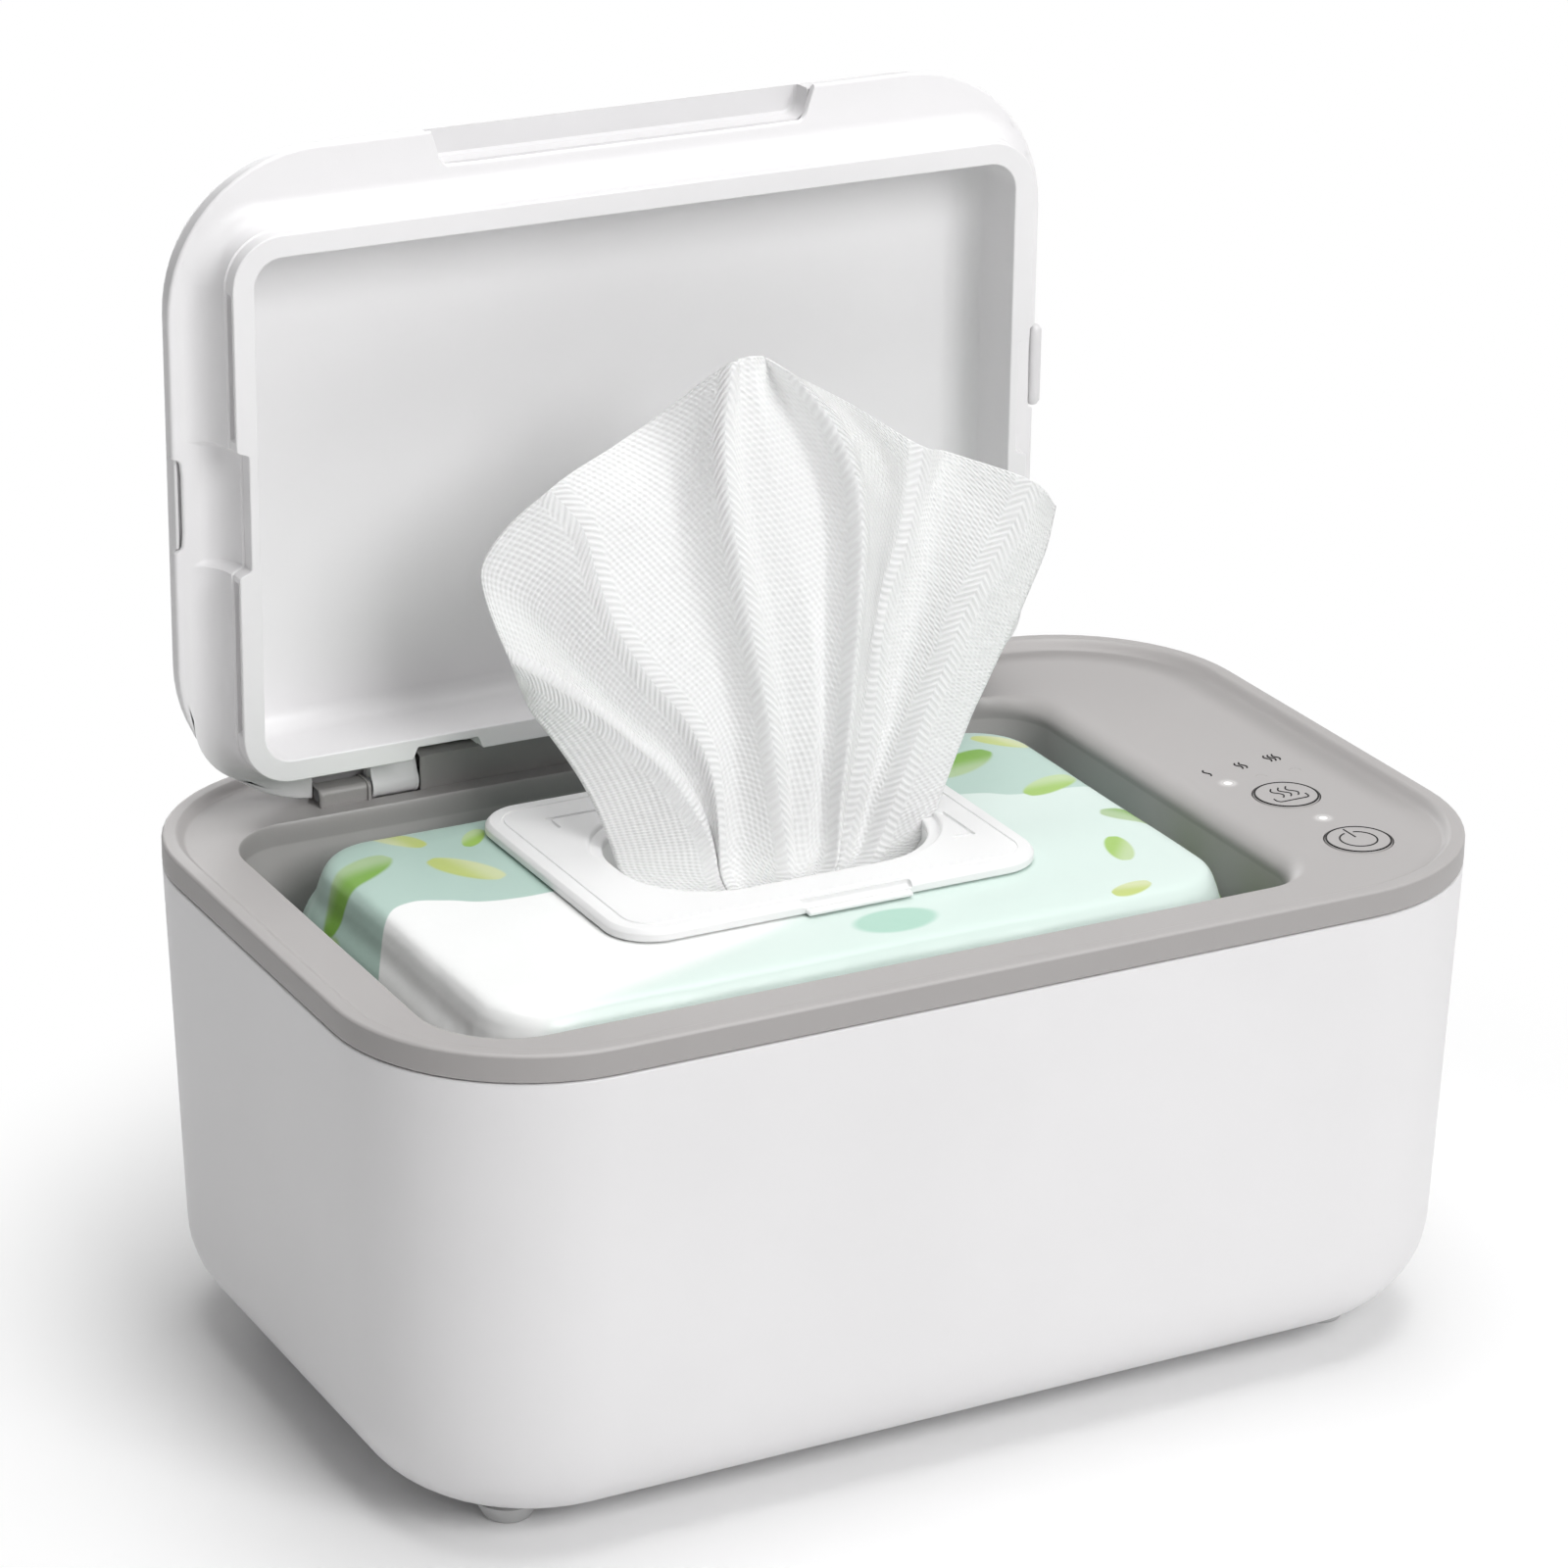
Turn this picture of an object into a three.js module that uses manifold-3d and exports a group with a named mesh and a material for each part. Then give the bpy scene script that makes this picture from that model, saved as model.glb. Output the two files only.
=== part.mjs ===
import * as THREE from 'three';
import Module from 'manifold-3d';
import { mergeVertices } from 'three/addons/utils/BufferGeometryUtils.js';

// A baby wipe warmer with its lid open. Millimetres, +Z up, +Y towards the hinge at the back.
// The origin is on the ground below the middle of the body.

const wasm = await Module();
wasm.setup();

// Body
const bodyLength = 245;
const bodyDepth = 157.4;
const bodyHeight = 108.1;
const bodyCorner = 40;
const footHeight = 4;
const rimHeight = 5.6;
const rimRound = 0.8;
const housingWall = 2.4;
const housingDraft = 2.8;
const housingBottomRound = 21;
const seamGap = 0.3;
const overrun = 1;

// Deck and the well that holds the wipes
const lipWidth = 2.9;
const lipSlope = 1.3;
const lipHeight = 1.6;
const deckWall = 2.4;
const skirtDepth = 8;
const skirtWall = 2;
const wellEndLand = 14.7;
const wellPanelLand = 45.5;
const wellFrontLand = 14.5;
const wellRearLand = 27.7;
const wellCorners = { rearRight: 13, rearLeft: 13, frontLeft: 17, frontRight: 13 };
const wellFloorHeight = 40;
const wellFloorRound = 6;
const wellDraft = 1.2;
const wellWall = 2.2;
const wellEdgeDrop = 4;
const wellEdgeRolls = { left: 1.2, right: 6, front: 0.8, rear: 0.7 };

// Base cover, its screws and the feet
const baseCoverInset = 34;
const baseCoverCorner = 14;
const baseCoverFlange = 4;
const baseCoverThickness = 3;
const baseFlangeThickness = 1.2;
const baseBossInset = 9;
const baseBossRadius = 3.5;
const screwPilotRadius = 1.5;
const screwPilotDepth = 14;
const screwShaftRadius = 1.2;
const screwLength = 12;
const screwHeadRadius = 2.6;
const screwHeadHeight = 1.5;
const screwHeadClearance = 0.4;
const screwHeadSink = 1.8;
const ventCount = 5;
const ventPitch = 9;
const ventLength = 56;
const ventWidth = 3;
const footFromEnd = 29.5;
const footFromSide = 27.9;
const footTopRadius = 6.7;
const footBottomRadius = 5;
const footBottomRound = 0.8;
const footStemRadius = 2.4;
const footStemTop = 10;
const footHeadRadius = 4;

// Heating stack below the floor of the well
const heaterEndMargin = 14;
const heaterBossMargin = 8;
const heaterCorner = 8;
const spreaderThickness = 1.2;
const filmThickness = 0.6;
const foamThickness = 6;
const filmInset = 4;
const filmTailLength = 6;
const filmTailWidth = 10;
const sensorRadius = 2.4;
const sensorHeight = 3.5;
const sensorX = -20;
const sensorY = -8;
const fuseRadius = 2;
const fuseLength = 13;
const fuseX = 18;
const fuseY = -8;
const pocketClearance = 0.4;

// Keys, lights and the board behind the panel
const keyFromEnd = 26.3;
const powerKeyFromFront = 26.9;
const keyPitch = 26.8;
const keyHoleRadius = 7.15;
const keyGap = 0.3;
const keyProud = 0.2;
const keyEdgeRound = 0.3;
const keyFlangeWidth = 1.4;
const keyFlangeThickness = 0.9;
const keyTravel = 0.8;
const boardDrop = 9.5;
const boardThickness = 1.6;
const boardFromEnd = 14;
const boardFromWell = 3.5;
const boardFromFront = 18.7;
const boardLength = 68;
const boardBossRadius = 2.8;
const boardBossInset = 3.8;
const boardBossFromRear = 8;
const boardCornerInset = 4.4;
const boardScrewLength = 5;
const domeWall = 0.8;
const domeFootRadius = 6;
const domeFootHeight = 1;
const domeWaistRadius = 3.4;
const domeTopRadius = 3;
const lightRadius = 1;
const lightClearance = 0.3;
const lightPitch = 8.2;
const lightCount = 3;
const lightFromKey = 10.9;
const lightRowOffset = -7.3;
const powerLightFromKey = 13;
const ledHeight = 1.6;
const ledWidth = 2.8;
const chipSize = 9;
const chipHeight = 1.6;
const socketLength = 10;
const socketDepth = 6;
const socketHeight = 6;
const socketSpacing = 16;

// Power inlet at the back, with its nut and the leads inside
const jackX = 60;
const jackHeight = 32;
const jackFlangeRadius = 6;
const jackFlangeThickness = 1.6;
const jackSeatDepth = 1.2;
const jackThreadRadius = 4;
const jackThreadClearance = 0.4;
const jackBodyRadius = 3.6;
const jackBodyDepth = 14;
const jackSocketRadius = 2.75;
const jackSocketDepth = 10;
const jackPinRadius = 0.9;
const jackPinSetback = 1.5;
const jackNutAcross = 11;
const jackNutThickness = 2.4;
const leadRadius = 1.1;

// Lid, drawn shut about its hinge axis and then turned open
const ringEndGap = 4.15;
const ringPanelGap = 1.35;
const ringFrontGap = 1;
const ringRearGap = 0.85;
const ringCornerStep = 2.5;
const ringDepth = 10.6;
const ringFace = 4.56;
const ringStepWidth = 1.6;
const ringStepHeight = 3.4;
const lidSideLand = 9.35;
const lidRightLand = 6.85;
const lidFrontLand = 13.8;
const lidCorner = 32;
const lidHeight = 11.5;
const lidWall = 2;
const lidGap = 0.4;
const lidBackRound = 6.5;
const lidTopRound = 6;
const lidDraft = 0.5;
const lidPanSink = 6.4;
const lidPanWall = 1.8;
const lidPanRound = 3;
const hingeInset = 1.2;
const clipFromHinge = 67;
const clipLength = 19;
const clipDepth = 2.2;
const clipProud = 0.9;
const clipRoot = 3;
const clipHeight = 4;
const ringNotchFromHinge = 65.8;
const ringNotchLength = 24.8;
const ringNotchWall = 2;
const rearNotchOffset = 45.25;
const rearNotchLength = 14.5;
const fingerLength = 84;
const fingerDepth = 7.2;
const fingerSink = 7;
const fingerWall = 2;

// Hinge
const pinRadius = 1.5;
const pinClearance = 0.3;
const pinInBlock = 8;
const pinFromFace = 0.5;
const earRadius = 3.4;
const earWidth = 11.5;
const knuckleWidth = 10.2;
const hingeSideGap = 0.4;
const hingeSweepGap = 0.5;
const blockLength = 96;
const blockRadius = 6;
const blockFront = 2.8;
const blockRear = 3.7;
const troughWall = 1.4;
const hingeBedDepth = 2.6;

// Pack of wipes: film, plastic mouth frame and the wipe that is pulled up
const packMouthClearance = 0.6;
const packBelly = 3;
const packTopGap = 2.8;
const packCorner = 20;
const packDrawIn = 1.6;
const framePlateThickness = 2.5;
const frameLength = 94.6;
const frameDepth = 71.7;
const frameCorner = 10;
const frameEdgeRound = 0.6;
const frameOffsetX = 1.5;
const frameOffsetY = 7.7;
const frameHoleOffsetX = 1.2;
const frameHoleOffsetY = -0.9;
const frameHoleLength = 72;
const frameHoleDepth = 46;
const frameHoleCorner = 21;
const frameHoleStep = 2.6;
const frameHoleStepDepth = 1.2;
const latchLength = 24.4;
const latchDepth = 2.2;
const latchOffset = 3.3;
const mouthDepth = 10.3;
const wipeRise = 108;
const wipeSpan = 130;
const wipeRootSpan = 51.5;
const wipeRootOffset = -0.5;
const wipeTipOffset = 4;
const wipeThickness = 1.1;
const wipeLean = 9;
const wipeFoldDepth = 6.5;
const wipeFoldCount = 5;

// Steps of the curves
const cornerSteps = 7;
const roundSteps = 4;
const circleSteps = 20;
const smallCircleSteps = 12;
const leadSteps = 20;
const leadSides = 6;
const wipeColumns = 36;
const wipeRows = 11;
const weldDistance = 1e-5;
const tightestShare = 0.125;

const quarterTurn = Math.PI / 2;
const fullTurn = Math.PI * 2;

// Heights and lines that follow from the sizes
const housingTop = bodyHeight - rimHeight - seamGap;
const rimBottom = bodyHeight - rimHeight;
const deckTop = bodyHeight - lipHeight;
const deckUnder = deckTop - deckWall;
const housingRoundTop = footHeight + housingBottomRound;
const well = {
  left: wellEndLand - bodyLength / 2,
  right: bodyLength / 2 - wellPanelLand,
  front: wellFrontLand - bodyDepth / 2,
  rear: bodyDepth / 2 - wellRearLand,
  corners: Object.values(wellCorners),
};
const wellUnder = wellFloorHeight - wellWall;
const ringCorner = Math.min(...well.corners) - ringCornerStep;
const ring = {
  left: well.left + ringEndGap,
  right: well.right - ringPanelGap,
  front: well.front + ringFrontGap,
  rear: well.rear - ringRearGap,
  corner: ringCorner,
};
const hingeY = ring.rear + lidSideLand - hingeInset;
const hingeZ = bodyHeight + lidGap;
const lidMiddle = (ring.left + ring.right) / 2;
const boardTop = deckTop - boardDrop;
const keyX = bodyLength / 2 - keyFromEnd;
const powerKeyY = powerKeyFromFront - bodyDepth / 2;
const heatKeyY = powerKeyY + keyPitch;

// Colours and finishes
function finish(color, roughness, metalness = 0) {
  return new THREE.MeshStandardMaterial({ color, roughness, metalness });
}

const whitePlastic = finish(0xeeeeee, 0.35);
const greyPlastic = finish(0xbdbcbc, 0.4);
const darkPlastic = finish(0x2b2b2d, 0.5);
const steel = finish(0xb8babd, 0.3, 1);
const brass = finish(0xc9a756, 0.35, 1);
const aluminium = finish(0xc4c7ca, 0.4, 1);
const orangeFilm = finish(0xc9822e, 0.4);
const greyFoam = finish(0x6c6e70, 0.95);
const greenBoard = finish(0x1f6b3c, 0.45);
const clearPlastic = finish(0xf4f6f7, 0.1);
const softRubber = finish(0xcfcfcf, 0.8);
const leadJacket = finish(0x8c1c1c, 0.5);
const mintFilm = finish(0xbfe3d5, 0.35);
const wipeCloth = finish(0xf7f7f5, 0.9);

// Solids

function toSolid(geometry) {
  const bare = geometry.clone();
  bare.deleteAttribute('normal');
  bare.deleteAttribute('uv');
  const merged = mergeVertices(bare, weldDistance);
  return new wasm.Manifold(new wasm.Mesh({
    numProp: 3,
    vertProperties: new Float32Array(merged.attributes.position.array),
    triVerts: new Uint32Array(merged.index.array),
  }));
}

function toGeometry(solid) {
  const mesh = solid.getMesh();
  const geometry = new THREE.BufferGeometry();
  geometry.setAttribute('position', new THREE.BufferAttribute(mesh.vertProperties, 3));
  geometry.setIndex(new THREE.BufferAttribute(mesh.triVerts, 1));
  geometry.computeVertexNormals();
  return geometry;
}

function joined(solids) {
  return solids.reduce((whole, solid) => whole.add(solid));
}

function part(name, solid, material) {
  const mesh = new THREE.Mesh(toGeometry(solid), material);
  mesh.name = name;
  return mesh;
}

// A closed body through rings of equal point count, each ring a height and its outline
function loft(rings) {
  const count = rings[0].points.length;
  const positions = [];
  const faces = [];
  for (const { z, points } of rings) {
    for (const [x, y] of points) positions.push(x, y, z);
  }
  for (let level = 0; level < rings.length - 1; level += 1) {
    for (let i = 0; i < count; i += 1) {
      const next = (i + 1) % count;
      const a = level * count + i;
      const b = level * count + next;
      faces.push(a, b, b + count, a, b + count, a + count);
    }
  }
  const caps = [[rings[0], 0, true], [rings.at(-1), (rings.length - 1) * count, false]];
  for (const [end, start, flip] of caps) {
    const middle = positions.length / 3;
    const x = end.points.reduce((sum, point) => sum + point[0], 0) / count;
    const y = end.points.reduce((sum, point) => sum + point[1], 0) / count;
    positions.push(x, y, end.z);
    for (let i = 0; i < count; i += 1) {
      const next = start + ((i + 1) % count);
      if (flip) faces.push(middle, next, start + i);
      else faces.push(middle, start + i, next);
    }
  }
  const geometry = new THREE.BufferGeometry();
  geometry.setAttribute('position', new THREE.Float32BufferAttribute(positions, 3));
  geometry.setIndex(faces);
  return toSolid(geometry);
}

// The outline of a rounded area, drawn in by an inset that may differ from side to side. The
// corners run from rear right over rear left and front left to front right.
function outline(area, inset = 0) {
  const side = typeof inset === 'number'
    ? { left: inset, right: inset, front: inset, rear: inset }
    : inset;
  const left = area.left + side.left;
  const right = area.right - side.right;
  const front = area.front + side.front;
  const rear = area.rear - side.rear;
  const mean = (side.left + side.right + side.front + side.rear) / 4;
  const room = Math.min(right - left, rear - front) / 2;
  const ends = [[right, rear], [left, rear], [left, front], [right, front]];
  const points = [];
  ends.forEach(([endX, endY], quarter) => {
    const corner = area.corners ? area.corners[quarter] : area.corner;
    const radius = Math.min(Math.max(corner - mean, corner * tightestShare), room);
    const x = endX === right ? right - radius : left + radius;
    const y = endY === rear ? rear - radius : front + radius;
    for (let step = 0; step <= cornerSteps; step += 1) {
      const angle = (quarter + step / cornerSteps) * quarterTurn;
      points.push([x + radius * Math.cos(angle), y + radius * Math.sin(angle)]);
    }
  });
  return points;
}

function plate(area, bottom, top, inset = 0) {
  const points = outline(area, inset);
  return loft([{ z: bottom, points }, { z: top, points }]);
}

function box(left, right, front, rear, bottom, top) {
  const geometry = new THREE.BoxGeometry(right - left, rear - front, top - bottom);
  geometry.translate((left + right) / 2, (front + rear) / 2, (bottom + top) / 2);
  return toSolid(geometry);
}

function cylinderX(radius, from, to, y = 0, z = 0, steps = circleSteps) {
  const geometry = new THREE.CylinderGeometry(radius, radius, to - from, steps);
  geometry.rotateZ(-quarterTurn);
  geometry.translate((from + to) / 2, y, z);
  return toSolid(geometry);
}

function cylinderZ(radius, x, y, bottom, top, steps = circleSteps, topRadius = radius) {
  const geometry = new THREE.CylinderGeometry(topRadius, radius, top - bottom, steps);
  geometry.rotateX(quarterTurn);
  geometry.translate(x, y, (bottom + top) / 2);
  return toSolid(geometry);
}

// A turned body about a vertical axis: the profile runs upwards from axis to axis
function turned(profile, x, y, steps = circleSteps) {
  const points = profile.map(([radius, z]) => new THREE.Vector2(radius, z));
  const geometry = new THREE.LatheGeometry(points, steps);
  geometry.rotateX(quarterTurn);
  geometry.translate(x, y, 0);
  return toSolid(geometry);
}

// Outlines of the body

function bodyArea(inset = 0) {
  return {
    left: inset - bodyLength / 2,
    right: bodyLength / 2 - inset,
    front: inset - bodyDepth / 2,
    rear: bodyDepth / 2 - inset,
    corner: bodyCorner - inset,
  };
}

// How far the housing's outer face stands inside the rim at a height
function housingInset(z) {
  if (z < housingRoundTop) {
    const below = housingRoundTop - z;
    return housingDraft + housingBottomRound - Math.sqrt(housingBottomRound ** 2 - below ** 2);
  }
  return (housingDraft * (housingTop - z)) / (housingTop - housingRoundTop);
}

function housingBody(offset, bottom, top) {
  const rings = [];
  for (let step = 0; step <= roundSteps; step += 1) {
    const angle = (step / roundSteps) * quarterTurn;
    const z = housingRoundTop - housingBottomRound * Math.cos(angle);
    rings.push({ z: step ? z : footHeight, inset: housingInset(z) });
  }
  rings.push({ z: housingTop, inset: 0 });
  const shape = rings.map(({ z, inset }) => {
    const share = (z - footHeight) / (housingTop - footHeight);
    return {
      z: bottom + share * (top - bottom),
      points: outline(bodyArea(inset + offset)),
    };
  });
  return loft(shape);
}

const baseCoverArea = { ...bodyArea(baseCoverInset), corner: baseCoverCorner };
const screwPlaces = [
  [baseCoverArea.left + baseBossInset, baseCoverArea.front + baseBossInset],
  [well.right - baseBossInset, baseCoverArea.front + baseBossInset],
  [baseCoverArea.left + baseBossInset, baseCoverArea.rear - baseBossInset],
  [well.right - baseBossInset, baseCoverArea.rear - baseBossInset],
];
const footX = bodyLength / 2 - footFromEnd;
const footY = bodyDepth / 2 - footFromSide;
const footPlaces = {
  foot_front_left: [-footX, -footY],
  foot_front_right: [footX, -footY],
  foot_rear_left: [-footX, footY],
  foot_rear_right: [footX, footY],
};

// White outer housing with its bottom opening, foot holes and the seat of the inlet
const jackWallY = bodyDepth / 2 - housingInset(jackHeight);
const jackSeatY = jackWallY - jackSeatDepth;

function cylinderY(radius, from, to, x, z, steps = circleSteps) {
  const geometry = new THREE.CylinderGeometry(radius, radius, to - from, steps);
  geometry.translate(x, (from + to) / 2, z);
  return toSolid(geometry);
}

function outerHousing() {
  const inside = housingBody(housingWall, footHeight + housingWall, housingTop + overrun);
  const opening = plate(baseCoverArea, footHeight - overrun, housingRoundTop);
  const recessTop = footHeight + baseFlangeThickness + seamGap;
  const recess = plate(baseCoverArea, footHeight - overrun, recessTop, -baseCoverFlange);
  const stems = Object.values(footPlaces).map(([x, y]) => {
    const radius = footStemRadius + seamGap;
    return cylinderZ(radius, x, y, footHeight - overrun, footStemTop, smallCircleSteps);
  });
  const jackBore = jackThreadRadius + jackThreadClearance;
  const jackHole = cylinderY(jackBore, jackSeatY - housingWall * 2, jackWallY, jackX, jackHeight);
  const jackSeat = cylinderY(
    jackFlangeRadius + seamGap, jackSeatY, jackWallY + housingDraft, jackX, jackHeight,
  );
  return housingBody(0, footHeight, housingTop)
    .subtract(inside)
    .subtract(joined([opening, recess, ...stems, jackHole, jackSeat]));
}

// Bottom cover with vents, held by four screws from below
const baseInnerTop = footHeight + baseCoverThickness;

function baseCover() {
  const flange = plate(
    baseCoverArea, footHeight, footHeight + baseFlangeThickness, seamGap - baseCoverFlange,
  );
  const body = plate(baseCoverArea, footHeight, baseInnerTop, seamGap);
  const cuts = screwPlaces.flatMap(([x, y]) => [
    cylinderZ(
      screwHeadRadius + screwHeadClearance, x, y,
      footHeight - overrun, footHeight + screwHeadSink, smallCircleSteps,
    ),
    cylinderZ(
      screwShaftRadius + seamGap, x, y, footHeight, baseInnerTop + overrun, smallCircleSteps,
    ),
  ]);
  for (let slot = 0; slot < ventCount; slot += 1) {
    const y = (slot - (ventCount - 1) / 2) * ventPitch;
    cuts.push(box(
      -ventLength / 2, ventLength / 2, y - ventWidth / 2, y + ventWidth / 2,
      footHeight - overrun, baseInnerTop + overrun,
    ));
  }
  return flange.add(body).subtract(joined(cuts));
}

function screw(x, y, bottom, length) {
  const head = cylinderZ(screwHeadRadius, x, y, bottom, bottom + screwHeadHeight, smallCircleSteps);
  const shaft = cylinderZ(
    screwShaftRadius, x, y, bottom, bottom + screwHeadHeight + length, smallCircleSteps,
  );
  return head.add(shaft);
}

const baseScrewBottom = footHeight + screwHeadSink - seamGap - screwHeadHeight;

// A rubber foot: a tapered pad that follows the housing's rounded bottom, with a headed stem
function foot(x, y) {
  const pad = turned([
    [0, 0],
    [footBottomRadius - footBottomRound, 0],
    [footBottomRadius, footBottomRound],
    [footTopRadius, footHeight * 2],
    [0, footHeight * 2],
  ], x, y);
  const body = housingBody(-seamGap, footHeight - seamGap, housingTop);
  const stem = cylinderZ(footStemRadius, x, y, footHeight / 2, footStemTop + overrun, smallCircleSteps);
  return pad.subtract(body).add(stem);
}

// Grey deck, well and hinge ears in one moulding
function wellBody(grow, bottom, top) {
  const depth = deckTop - wellFloorHeight;
  const rings = [];
  for (let step = 0; step <= roundSteps / 2; step += 1) {
    const angle = (step / (roundSteps / 2)) * quarterTurn;
    const rise = wellFloorRound * (1 - Math.cos(angle));
    const inset = wellFloorRound * (1 - Math.sin(angle)) + wellDraft * (1 - rise / depth);
    rings.push({ z: bottom + rise, inset: inset - grow });
  }
  rings.push({ z: top, inset: -grow });
  return loft(rings.map(({ z, inset }) => ({ z, points: outline(well, inset) })));
}

function wellEdge() {
  const rings = [];
  for (let step = 0; step <= roundSteps; step += 1) {
    const angle = (step / roundSteps) * quarterTurn;
    const roll = 1 - Math.cos(angle);
    const grown = {};
    for (const [side, size] of Object.entries(wellEdgeRolls)) grown[side] = -size * roll;
    const z = deckTop - wellEdgeDrop * (1 - Math.sin(angle));
    rings.push({ z, points: outline(well, grown) });
  }
  rings.push({ z: deckTop + overrun, points: rings.at(-1).points });
  return loft(rings);
}

// The hinge's pieces along X, once for each side
const hingeSides = [-1, 1].map((side) => {
  const along = (distance) => lidMiddle + side * distance;
  const span = (from, to) => [along(from), along(to)].sort((a, b) => a - b);
  const knuckleStart = blockLength / 2 + hingeSideGap;
  const knuckleEnd = knuckleStart + knuckleWidth;
  const earStart = knuckleEnd + hingeSideGap;
  const earEnd = earStart + earWidth;
  const pinStart = blockLength / 2 - pinInBlock;
  return {
    knuckle: span(knuckleStart, knuckleEnd),
    knuckleSpace: span(blockLength / 2, earStart),
    ear: span(earStart, earEnd),
    earSpace: span(knuckleStart, earEnd + hingeSideGap),
    pin: span(pinStart, earEnd - pinFromFace),
    bore: span(pinStart - pinClearance, earEnd + overrun),
  };
});

const bossRearY = boardFromFront - bodyDepth / 2 + boardLength - boardBossFromRear;
const bossPlaces = [
  [well.right + boardFromWell + boardBossInset, powerKeyY + keyPitch / 2],
  [bodyLength / 2 - boardFromEnd - boardBossInset, powerKeyY + keyPitch / 2],
  [well.right + boardFromWell + boardBossInset, bossRearY],
  [bodyLength / 2 - boardFromEnd - boardBossInset, bossRearY],
];
const lightPlaces = [];
for (let index = 0; index < lightCount; index += 1) {
  lightPlaces.push([`level_${index + 1}`, keyX + lightRowOffset + index * lightPitch, heatKeyY + lightFromKey]);
}
lightPlaces.push(['power', keyX, powerKeyY + powerLightFromKey]);
const keyPlaces = { heat_button: heatKeyY, power_button: powerKeyY };

function topDeck() {
  const skirtInset = housingWall + seamGap + housingInset(rimBottom - skirtDepth);
  const lipInner = lipWidth + lipSlope;
  const profile = [
    [rimBottom - skirtDepth, skirtInset],
    [rimBottom, skirtInset],
    [rimBottom, 0],
    [bodyHeight - rimRound, 0],
    [bodyHeight, rimRound],
    [bodyHeight, lipWidth],
    [deckTop, lipInner],
  ];
  const whole = loft(profile.map(([z, inset]) => ({ z, points: outline(bodyArea(inset)) })));
  const under = plate(
    bodyArea(skirtInset + skirtWall), rimBottom - skirtDepth - overrun, deckUnder,
  );
  const bossTop = deckUnder + deckWall / 2;
  const bosses = bossPlaces.map(([x, y]) => cylinderZ(
    boardBossRadius, x, y, boardTop + seamGap, bossTop, smallCircleSteps,
  ));
  const columns = screwPlaces.map(([x, y]) => cylinderZ(
    baseBossRadius, x, y, baseInnerTop + seamGap, wellFloorHeight - wellWall / 2, smallCircleSteps,
  ));
  const bedFront = hingeY - earRadius - hingeSweepGap - overrun;
  const bedRear = hingeY + earRadius + hingeSweepGap + overrun;
  const raised = [];
  for (const { ear, knuckleSpace } of hingeSides) {
    const front = hingeY - earRadius;
    raised.push(box(...ear, front, hingeY + earRadius, deckUnder, hingeZ));
    raised.push(cylinderX(earRadius, ...ear, hingeY, hingeZ));
    raised.push(box(...knuckleSpace, bedFront, bedRear, deckUnder - hingeBedDepth, deckTop - seamGap));
  }
  const blockEnds = [lidMiddle - blockLength / 2, lidMiddle + blockLength / 2];
  const block = cylinderX(blockRadius, ...blockEnds, hingeY, hingeZ).intersect(box(
    ...blockEnds, hingeY - blockFront, hingeY + blockRear, deckUnder, hingeZ + blockRadius + overrun,
  ));
  const solid = whole
    .subtract(under)
    .add(joined([...bosses, ...columns, ...raised, block]))
    .add(wellBody(wellWall, wellUnder, deckUnder + deckWall / 2));
  const cuts = [wellBody(0, wellFloorHeight, deckTop), wellEdge()];
  for (const { knuckleSpace, bore } of hingeSides) {
    const boreRadius = pinRadius + pinClearance;
    cuts.push(cylinderX(earRadius + hingeSweepGap, ...knuckleSpace, hingeY, hingeZ));
    cuts.push(cylinderX(boreRadius, ...bore, hingeY, hingeZ, smallCircleSteps));
  }
  for (const [, x, y] of lightPlaces) {
    const bottom = deckUnder - overrun;
    cuts.push(cylinderZ(lightRadius + lightClearance, x, y, bottom, deckTop + overrun, smallCircleSteps));
  }
  for (const y of Object.values(keyPlaces)) {
    cuts.push(cylinderZ(keyHoleRadius, keyX, y, deckUnder - overrun, deckTop + overrun));
  }
  for (const [x, y] of bossPlaces) {
    cuts.push(cylinderZ(screwPilotRadius, x, y, boardTop, deckUnder, smallCircleSteps));
  }
  for (const [x, y] of screwPlaces) {
    const top = baseInnerTop + screwPilotDepth;
    cuts.push(cylinderZ(screwPilotRadius, x, y, baseInnerTop, top, smallCircleSteps));
  }
  return solid.subtract(joined(cuts));
}

// Heating stack: spreader plate, printed film and foam, with the sensor and fuse in the foam
const heaterArea = {
  left: screwPlaces[0][0] + heaterBossMargin,
  right: screwPlaces[1][0] - heaterBossMargin,
  front: well.front + heaterEndMargin,
  rear: well.rear - heaterEndMargin,
  corner: heaterCorner,
};
const spreaderTop = wellUnder - seamGap;
const filmTop = spreaderTop - spreaderThickness - seamGap;
const foamTop = filmTop - filmThickness - seamGap;
const filmTailEnd = heaterArea.right + filmTailLength;

function heatingFilm() {
  const sheet = plate(heaterArea, filmTop - filmThickness, filmTop, filmInset);
  return sheet.add(box(
    heaterArea.right - filmInset * 2, filmTailEnd,
    heatKeyY - filmTailWidth / 2, heatKeyY + filmTailWidth / 2, filmTop - filmThickness, filmTop,
  ));
}

function insulationPad() {
  const sensorPocket = cylinderZ(
    sensorRadius + pocketClearance, sensorX, sensorY,
    foamTop - sensorHeight - pocketClearance, foamTop + overrun, smallCircleSteps,
  );
  const fusePocket = box(
    fuseX - fuseLength / 2 - pocketClearance, fuseX + fuseLength / 2 + pocketClearance,
    fuseY - fuseRadius - pocketClearance, fuseY + fuseRadius + pocketClearance,
    foamTop - fuseRadius * 2 - pocketClearance, foamTop + overrun,
  );
  return plate(heaterArea, foamTop - foamThickness, foamTop).subtract(sensorPocket.add(fusePocket));
}

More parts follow.
